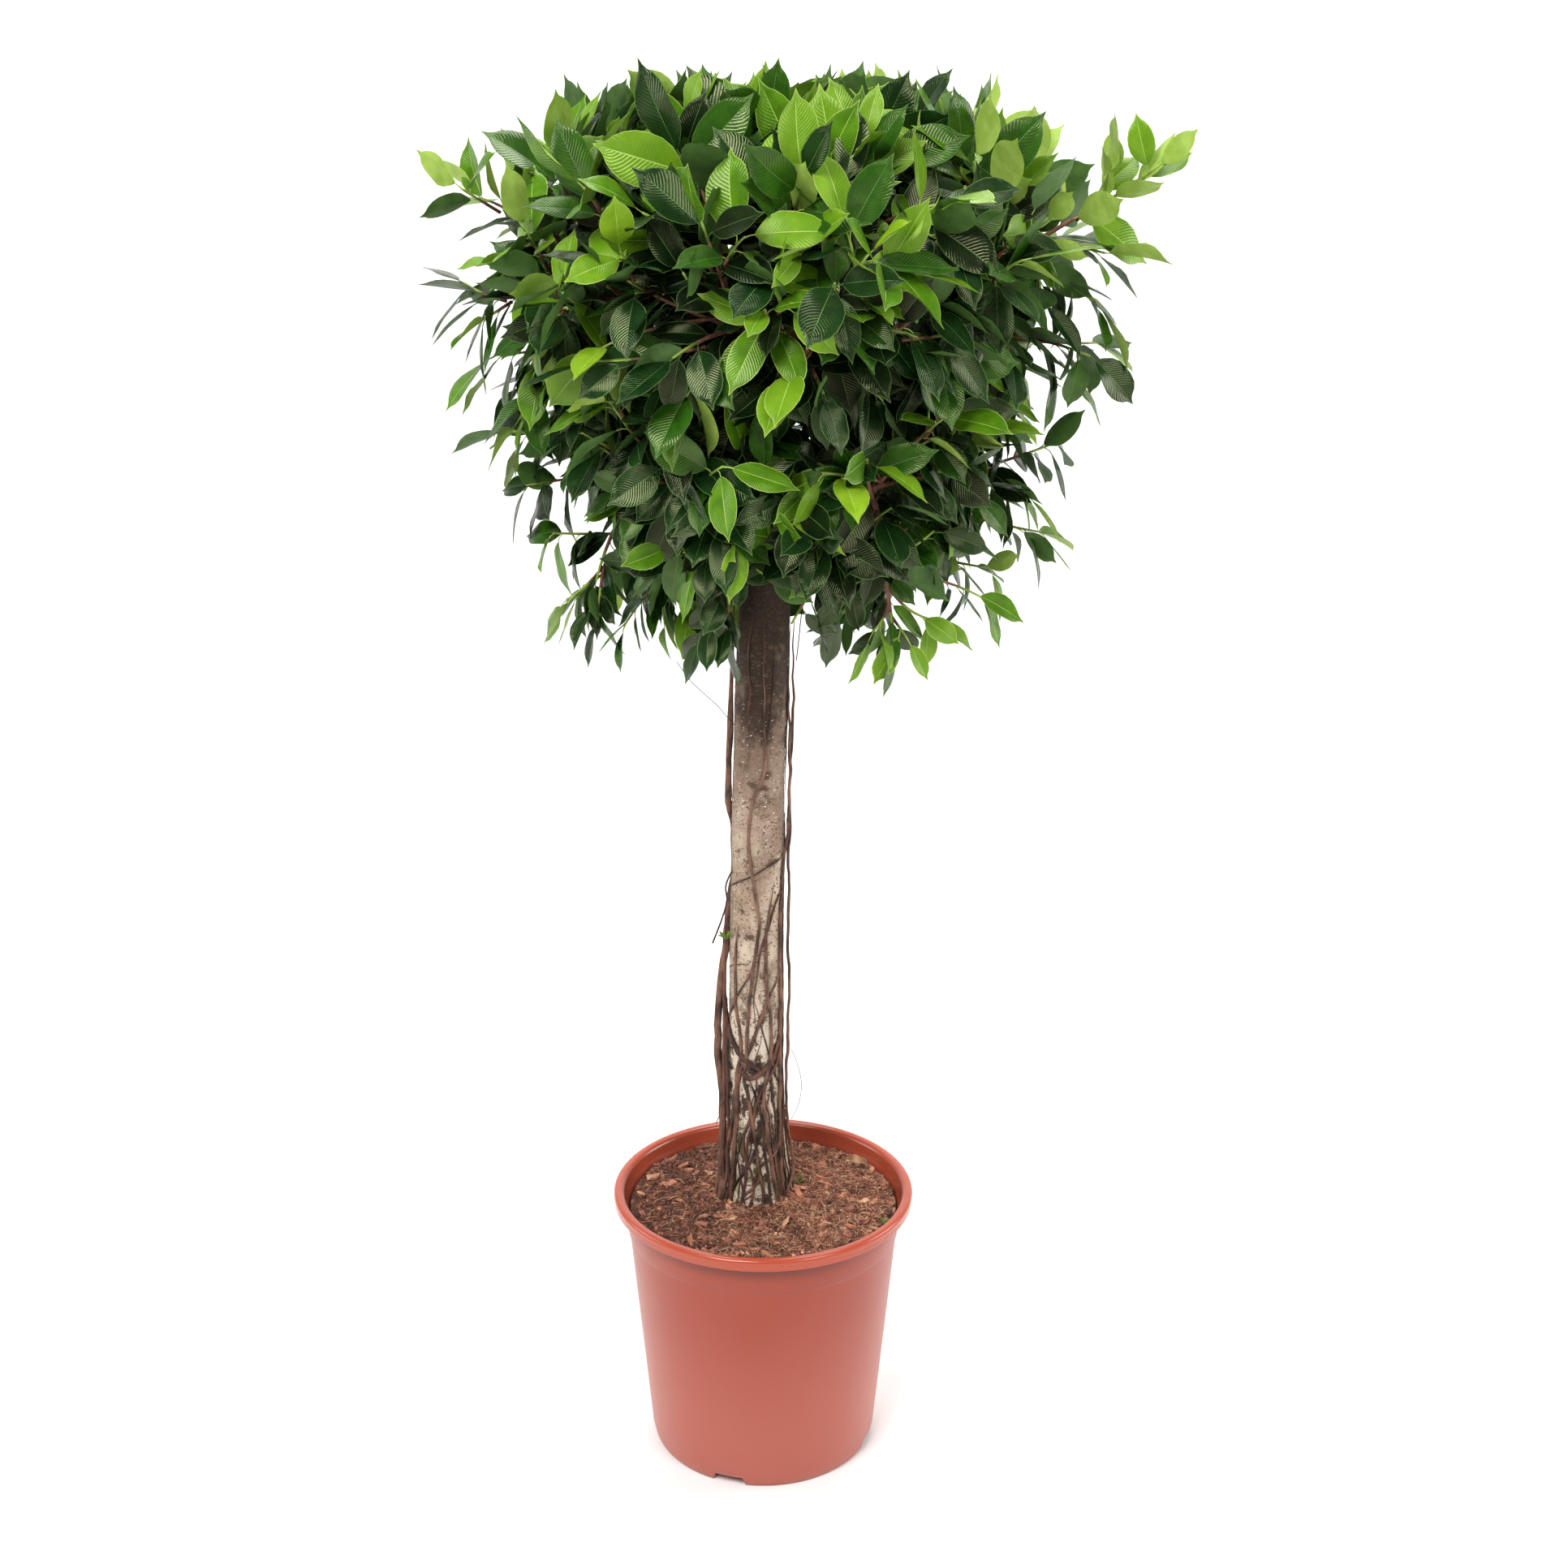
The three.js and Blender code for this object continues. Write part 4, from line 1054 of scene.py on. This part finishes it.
# Tints from the oldest leaves to the youngest, the first of them near-black as painted shade deep in the
# head: name, blade, its lighter parts, roughness, light let through
TINTS = [
    ("inner", "080e07", "0c140a", 0.3, 0.0),
    ("deep", "081509", "0d1f0c", 0.19, 0.0),
    ("dark", "0f2810", "163613", 0.19, 0.0),
    ("mid", "20460c", "2d5a0e", 0.22, 0.05),
    ("fresh", "446f0e", "578514", 0.25, 0.14),
    ("lime", "628d16", "729a20", 0.26, 0.24),
    ("pale", "7fa61c", "91b52a", 0.27, 0.28),
]
UNDERSIDES = [("old", "48682f", "58793b"), ("young", "94b048", "a8c25e")]
RIBS = [("old", "4a6c33", "5a7e3f"), ("young", "a3bf58", "b6d06e")]


YOUNG_BLADE, YOUNG_STALK = 4, 3  # the first tints with a young rib and underside, and with a young stalk


def leaf_materials():
    """The leaf materials, and for each tint which of them its upper side, rib, underside and stalk take."""
    made = [blade_material(f"leaf_{name}", *rest) for name, *rest in TINTS]
    made += [plain_leaf_material(f"underside_{name}", a, b, 0.55, 0.2) for name, a, b in UNDERSIDES]
    made += [plain_leaf_material(f"rib_{name}", a, b, 0.45) for name, a, b in RIBS]
    under, rib = len(TINTS), len(TINTS) + len(UNDERSIDES)
    table = [[i, rib + (i >= YOUNG_BLADE), under + (i >= YOUNG_BLADE), rib + (i >= YOUNG_STALK)]
             for i in range(len(TINTS))]
    return made, np.array(table)


RISE_FROM, RISE_TO = 1160, 1280  # heights over which the leaves come to stand upright
HANG_FROM, HANG_TO = 1100, 900  # and those over which they come to hang


def share_of_way(height, start, end):
    return min(max((height - start) / (end - start), 0), 1)


def leaf_way(place, twig, k, turn, closer):
    """A leaf's direction and face, by the solids' rule: round the twig by the golden angle, rising on top."""
    across = unit(np.cross(twig, UP) + 1e-6)
    over = unit(np.cross(across, twig))
    a = math.radians(GOLDEN_ANGLE * k + turn)
    spread = math.radians((14 if k == 0 else 60) * (1 - closer))
    rise = share_of_way(place[2], RISE_FROM, RISE_TO)
    hang = share_of_way(place[2], HANG_FROM, HANG_TO)
    lean = (lerp(-0.65, 0.75, rise) - 0.3 * hang) * lerp(1, -1, closer)
    way = unit(twig * math.cos(spread) + across * math.cos(a) * math.sin(spread)
               + over * math.sin(a) * math.sin(spread) + UP * lean)
    outward = unit(place - np.array([*HEAD, FOCUS_HEIGHT]))
    outward[2] *= 1 - 0.9 * rise
    return way, unit(outward + lerp(0.66, 0.1, rise) * UP)


class Spacing:
    """Keeps the middles of the leaves apart, on a grid of small cells."""

    def __init__(self, apart):
        self.apart = apart
        self.cells = {}

    def free(self, point):
        x, y, z = (int(v // self.apart) for v in point)
        for i in (x - 1, x, x + 1):
            for j in (y - 1, y, y + 1):
                for k in (z - 1, z, z + 1):
                    for other in self.cells.get((i, j, k), ()):
                        if sum((a - b) ** 2 for a, b in zip(point, other)) < self.apart ** 2:
                            return False
        return True

    def take(self, point):
        self.cells.setdefault(tuple(int(v // self.apart) for v in point), []).append(point)


OPEN_BELOW = 945  # under this height the head is open round the trunk
OPEN_FRONT = [(850, 50), (900, 38), (OPEN_BELOW, -20)]  # height, and how far right the front is open


def has_room(point):
    """Within the head's top and bottom, off the trunk, and not across the opening in front of it."""
    if not CROWN_FLOOR < point[2] < CROWN_CEILING:
        return False
    x, y, _ = point - trunk_centre(min(point[2], FORK_HEIGHT))
    in_front = y < 0 and -20 < x < along(OPEN_FRONT, point[2])
    return point[2] > OPEN_BELOW or (math.hypot(x, y) > TRUNK_ROOM and not in_front)


# The inner sprays, deep in the head, take the darkest tints as painted shade.
TINT_STEPS = {  # by the age of the spray, the tints of its leaves, two by two from the tip
    "flush": [5, 5, 4, 3, 2], "bright": [5, 5, 4, 4, 3], "half": [4, 3, 2, 1, 1], "old": [2, 2, 1, 1, 0],
    "inner": [1, 0, 0, 0, 0],
}
# Painted light: over this height leaves take lighter tints, standing in for the lit and shone-through top of
# the head.
PAINTED_TOP_LIGHT = 1210  # over this height more of the leaves are light


def tint_of(k, age, height, rng):
    """Youngest at the tip of a young spray, oldest inside an old one, and lighter towards the top as painted
    light.
    """
    step = TINT_STEPS[age][min(k // 2, 4)]
    if rng.random() < 0.25:
        step += rng.choice([-1, 1])
    if height > PAINTED_TOP_LIGHT and rng.random() < 0.58:
        step = min(max(step, rng.choice([3, 3, 4, 5])), 5)
    return int(min(max(step, 0), len(TINTS) - 1))


# By the height of a spray's tip: what is taken off its dice for a young age, and the size of its leaves
OLDER = [(900, -0.02), (1130, -0.04), (1220, 0.28)]
GROWTH = [(860, 0.76), (960, 0.86), (1080, 0.98), (1200, 1.02)]
TRIES = 5
LEAF_LENGTHS = (44, 66)
STALK_LENGTHS = (7, 11)
LEAF_STEPS = (7, 11)
LEAFY, LEAFY_SINGLE, LEAFY_BRIGHT, LEAFY_LONG = 88, 48, 24, 165  # how far back from its tip a twig has leaves


def spray(path, is_long, rng, spacing, leaves, age):
    """Leaves along the outer part of one twig."""
    run = lengths_along(path)
    whole = run[-1]

    def point_at(distance):
        return np.array([np.interp(distance, run, path[:, i]) for i in range(3)])

    top = path[-1][2]
    dice = rng.random() - along(OLDER, top)
    is_bright = age == "bright"
    is_single = is_bright or age == "few"
    if age == "few":
        age = "half" if dice < 0.6 else "old"
    age = age or ("flush" if dice < 0.05 else "half" if dice < 0.26 else "old")
    turn = rng.uniform(0, 360)
    k = 0
    back = rng.uniform(1, 4)
    reach = LEAFY_LONG if is_long else LEAFY_BRIGHT if is_bright else LEAFY_SINGLE if is_single else LEAFY
    reach = min(whole * 0.8, reach)
    growth = along([*GROWTH, (1260, 0.98 if is_single else 1.2)], top)
    while back < reach:
        at = point_at(whole - back)
        twig = unit(point_at(whole - back + 6) - point_at(whole - back - 6))
        size = rng.uniform(*LEAF_LENGTHS) * growth * (0.75 if k < 2 and age == "flush" else 1)
        for attempt in range(TRIES):
            way, face = leaf_way(at, twig, k, turn + 75 * attempt, 0.5 * (attempt / TRIES))
            way = unit(way + rng.normal(0, 0.24, 3))
            face = unit(face + rng.normal(0, 0.2 if is_single and not is_bright else 0.42, 3))
            stalk = unit(way + 0.6 * twig) * rng.uniform(*STALK_LENGTHS)
            base = at + stalk
            middle = base + way * size * 0.5
            if spacing.free(middle) and has_room(base + way * size) and has_room(middle):
                spacing.take(middle)
                leaves.append((at, base, way, face, twig, size, tint_of(k, age, at[2], rng)))
                break
        k += 1
        back += rng.uniform(*LEAF_STEPS) * (1.5 if is_long else 1)


def leaf_arrays(leaves, rng):
    """What the leaves are, by name, with the random part of each one's form."""
    count = len(leaves)
    keys = ("node", "base", "way", "face", "twig", "length", "tint")
    arrays = {key: np.array(values) for key, values in zip(keys, zip(*leaves))}
    arrays["width"] = arrays["length"] * rng.uniform(0.4, 0.55, count)
    arrays["curl"] = np.clip(rng.normal(0.24, 0.13, count), -0.05, 0.5)
    arrays["fold"] = np.clip(rng.normal(0.18, 0.12, count), 0, 0.5)
    arrays["wave"] = rng.uniform(0.0, 0.14, count)
    arrays["phase"] = rng.uniform(0, 6.3, count)
    arrays["twist"] = rng.normal(0, 0.3, count)
    arrays["sway"] = rng.normal(0, 0.05, count)
    return arrays


def add_leaves(batch, arrays, table):
    """Leaves into a batch. The table holds the slots of the four parts of a leaf, by its tint."""
    points, uv = leaf_points(arrays)
    slots = table[arrays["tint"]]
    offsets = (np.arange(len(points)) * LEAF_POINTS)[:, None, None]
    first = batch.count
    tris = (LEAF_TRIS[:, :3] + offsets).reshape(-1, 3)
    quads = (LEAF_QUADS[:, :4] + offsets).reshape(-1, 4)
    batch.add(points, tris, slots[:, LEAF_TRIS[:, 3]].ravel(), np.tile(uv, (len(points), 1)))
    batch.more(quads, first, slots[:, LEAF_QUADS[:, 4]].ravel())


# Litter: curled dry leaves on the soil, and small green sprigs in the soil and on the trunk
DRY_LEAVES = [  # x and y, direction, face, length
    ((106, 56), (-0.62, 0.25, 0.72), (0.75, -0.5, 0.45), 27),
    ((-64, -52), (0.8, 0.5, 0.15), (0.1, -0.2, 1), 16),
]
DRY_FORM = {"curl": [1.1, 0.5], "fold": [1.3, 0.6], "wave": [0.7, 0.4], "twist": [1.4, 0.4]}
SPRIGS = [  # x, y and height, or None for the soil
    (34, 27, None), (128, -49, None), (122, -56, None), (-36, 3, 541),
]


def make_litter():
    rng = np.random.default_rng(17)
    dry = []
    for (x, y), way, face, length in DRY_LEAVES:
        base = np.array([x, y, soil_height(x, y) + 4.0])
        way = unit(way)
        dry.append((base - 3 * way, base, way, unit(face), way, length, 0))
    dry = leaf_arrays(dry, rng)
    dry.update({key: np.array(values) for key, values in DRY_FORM.items()})
    dry["width"] *= 0.66
    green = []
    for x, y, height in SPRIGS:
        root = np.array([x, y, soil_height(x, y) if height is None else height], float)
        for k in range(5):
            way = unit(np.array([math.cos(2.4 * k), math.sin(2.4 * k), rng.uniform(0.5, 1.4)]))
            green.append((root, root + way * 2, way, UP, way, rng.uniform(6, 10), 1))
    green = leaf_arrays(green, rng)
    green["width"] *= 0.6
    batch = Batch()
    for arrays in (dry, green):
        add_leaves(batch, arrays, np.array([[0] * 4, [1] * 4]))
    materials = [plain_leaf_material("leaf_dry", "6e4a35", "b58b6c", 0.7),
                 plain_leaf_material("sprig", "4d6a22", "6b8a2e", 0.6)]
    batch.piece("soil_litter", materials, "soil")


GREEN_LENGTH = 35


def twig_tube(batch, path, thick, thin):
    """Brown wood inside, and the last stretch green."""
    run = lengths_along(path)
    whole = run[-1]
    radii = np.interp(run, [0, whole], [thick, thin])
    split = int(np.searchsorted(run, max(whole - GREEN_LENGTH, whole * 0.4)))
    split = min(max(split, 1), len(path) - 2)
    tube(batch, path[:split + 1], radii[:split + 1], 5, 0)
    tube(batch, path[split:], radii[split:], 5, 1)


FINE_TIPS = 680
FINE_CROWDING = 1.3
# By the height of a tip: the noise under which none grows, and how much deeper it lies than its dice say
BARE = [(880, 0.04), (1000, -0.09), (1160, -0.3), (1230, -0.4), (1260, -0.16)]
DEEPER = [(940, 4), (1040, 14), (1140, 10), (1200, 0), (1250, 8), (1300, 16)]
INNER_DEPTH = 44
AXIS_LOW, AXIS_HIGH = 1000, 1200  # the stretch of the head's axis that tips lie in from


def finer_tips(plan, plans, rng):
    """The finer tips in a mass's space, by the same spiral, some a little inside the outline: (tip, age)."""
    tips = []
    for tip in surface_tips(FINE_TIPS, FINE_CROWDING):
        if depth_in_space(tip, plan, plans) <= 0 or noise.noise(Vector(tip * 0.014)) < along(BARE, tip[2]):
            continue
        axis = np.array([*HEAD, min(max(tip[2], AXIS_LOW), AXIS_HIGH)])
        dice = rng.random()
        nearest, deepest = (-24, -4) if dice < 0.1 else (-4, 30) if dice < 0.66 else (26, 90)
        depth = rng.uniform(nearest, deepest) + along(DEEPER, tip[2])
        # Tips deeper than INNER_DEPTH are inner sprays, whose near-black tints are painted shade.
        tips.append((tip + unit(axis - tip) * depth, "inner" if depth > INNER_DEPTH else None))
    return tips


# Loose sprays outside the outline and under it: x, y, height and age of the leaves
LOOSE_TIPS = [
    (-262, -5, 1245, "few"), (342, 4, 1262, "bright"), (-262, -10, 1165, "few"), (-245, -20, 1135, "few"),
    (-240, 10, 1100, "few"), (-215, -30, 1050, "few"), (-232, 30, 1030, "few"), (-215, 0, 985, "few"),
    (-190, -20, 945, "few"), (-178, -40, 888, "few"), (-172, 10, 880, "few"), (-150, -50, 872, "few"),
    (-125, -60, 868, "few"), (-90, -40, 870, "half"), (-56, -80, 862, "few"), (-30, -78, 866, "old"),
    (96, -96, 872, "bright"), (126, -98, 868, "bright"), (152, -84, 880, "bright"), (112, -60, 864, "old"),
    (296, -10, 1255, "bright"), (300, 0, 1190, "few"), (292, -20, 1150, "few"), (298, 20, 1110, "few"),
    (270, -20, 1090, "few"), (262, -10, 1025, "few"), (238, -30, 980, "few"), (255, 10, 940, "few"),
    (205, -30, 915, "few"), (195, -60, 895, "few"), (77, -222, 1172, "flush"), (20, -214, 1112, "bright"),
    (48, -184, 1028, "bright"), (14, -168, 990, "bright"), (-134, -158, 1125, "bright"),
    (-113, -190, 1205, "bright"), (103, -212, 1192, "bright"), (186, -106, 1052, "bright"),
    (-160, -150, 1180, "flush"), (60, 150, 880, "half"), (150, 110, 900, "old"), (-80, 140, 890, "old"),
    (-30, 130, 872, "half"), (210, 90, 960, "half"), (-140, 100, 884, "half"),
]

BOUGH_STEPS = 34
STEM_STEPS = 10
BOUGH_RADII = (7.6, 4.8)


def make_boughs(plans):
    bark = [root_material("bough_bark", "54402f", "8a7057")]
    for i, plan in enumerate(plans):
        start, bend, end = bough_ends(plan)
        path = bezier(start, bend, end, BOUGH_STEPS)
        batch = Batch()
        radii = np.linspace(*BOUGH_RADII, BOUGH_STEPS) * (1 + 0.08 * knots(BOUGH_STEPS, i * 31.0, 0.3))
        tube(batch, path, radii, 14)
        way = unit(path[-1] - path[-2])
        bend = end + way * np.linalg.norm(plan["centre"] - end) / 2
        stem = bezier(end, bend, plan["centre"], STEM_STEPS)
        tube(batch, stem, np.linspace(BOUGH_RADII[1], MAIN_RADIUS, STEM_STEPS), 10)
        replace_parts(batch.piece("limb_" + plan["name"], bark, "bough_bark"), plan["bough"])


LEAF_GAP = 10.3  # between the middles of two leaves


def make_crown():
    plans = mass_plans()
    make_boughs(plans)
    materials, table = leaf_materials()
    wood = [root_material("twig_brown", "66402f", "935f4a"),
            plain_leaf_material("twig_green", "84993f", "98ab4e", 0.5)]
    spacing = Spacing(LEAF_GAP)
    for i, plan in enumerate(plans):
        rng = np.random.default_rng(700 + i)
        shoots = main_shoots(plan, plans)
        sprays = [(shoot_path(a, b, rng), radius, is_long, None) for a, b, radius, is_long in shoots]
        loose = [(np.array(tip), age) for *tip, age in LOOSE_TIPS]
        loose = [(tip, age) for tip, age in loose if depth_in_space(tip, plan, plans) > 0]
        sprays += fine_twigs(loose, 1.7, shoots, rng)
        sprays += fine_twigs(finer_tips(plan, plans, rng), 1.6, shoots, rng)
        twigs, leaves = Batch(), []
        for path, radius, is_long, age in sprays:
            twig_tube(twigs, path, radius, 1.0)
            spray(path, is_long, rng, spacing, leaves, age)
        blades = Batch()
        add_leaves(blades, leaf_arrays(leaves, rng), table)
        name = plan["name"]
        slot = "foliage_top" if name == "top" else "foliage_high" if "upper" in name else "foliage_low"
        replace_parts(blades.piece("leaves_" + name, materials, slot), "foliage_" + name)
        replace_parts(twigs.piece("twigs_" + name, wood, "bough_bark"), "foliage_" + name)


# Studio: a pale floor that curves up behind, soft light and the photograph's camera
def make_studio():
    reach, back, height, bend = 5000, 2600, 4200, 900
    turns = np.linspace(0.08, math.pi / 2, 18)
    profile = [(-reach, 0), (back - bend, 0), *((back - bend + bend * math.sin(t), bend - bend * math.cos(t))
                                                for t in turns), (back, height)]
    points = np.array([(x, y, z) for x in (-reach, reach) for y, z in profile]) * MM
    n = len(profile)
    faces = [(i, n + i, n + i + 1, i + 1) for i in range(n - 1)]
    mesh = bpy.data.meshes.new("floor")
    mesh.from_pydata(points.tolist(), [], faces)
    mesh.polygons.foreach_set("use_smooth", np.full(len(faces), True))
    mesh.materials.append(floor_material())
    placed("floor", mesh)


LIGHTS = [  # name, place, target, size and power
    ("key", (-1.2, -2.2, 3.2), (0, 0, 0.8), 1.9, 116),
    ("fill", (1.9, -2.2, 2.3), (0, 0, 0.8), 1.6, 40),
    ("top", (0.1, 1.0, 3.4), (0, 0, 1.0), 2.2, 66),
    ("left", (-2.6, 0.3, 1.3), (0, 0, 0.8), 1.4, 22),
    ("right", (2.6, 0.4, 1.2), (0, 0, 0.7), 1.4, 30),
]


def make_lights():
    world = bpy.data.worlds.new("studio")
    world.use_nodes = True
    background = world.node_tree.nodes["Background"]
    background.inputs["Color"].default_value = (1, 1, 1, 1)
    background.inputs["Strength"].default_value = 0.22
    bpy.context.scene.world = world
    for name, place, target, size, power in LIGHTS:
        light = bpy.data.lights.new(name, "AREA")
        light.shape = "DISK"
        light.size = size
        light.energy = power
        made = placed(name, light)
        made.location = place
        made.rotation_euler = (Vector(target) - Vector(place)).to_track_quat("-Z", "Y").to_euler()


LOOKS_DOWN = 17.9  # degrees


def make_camera():
    lens = bpy.data.cameras.new("camera")
    lens.lens = 49.95
    lens.sensor_width = 36
    lens.shift_x = 0.0133
    camera = placed("camera", lens)
    camera.location = (0, -1.9605, 1.3335)
    camera.rotation_euler = (math.radians(90 - LOOKS_DOWN), 0, 0)
    bpy.context.scene.camera = camera


make_pot()
make_soil()
make_chips()
make_fibres()
make_trunk()
make_roots()
make_crossing_roots()
make_crown()
make_litter()
make_studio()
make_lights()
make_camera()
bpy.context.scene.view_settings.view_transform = "Standard"
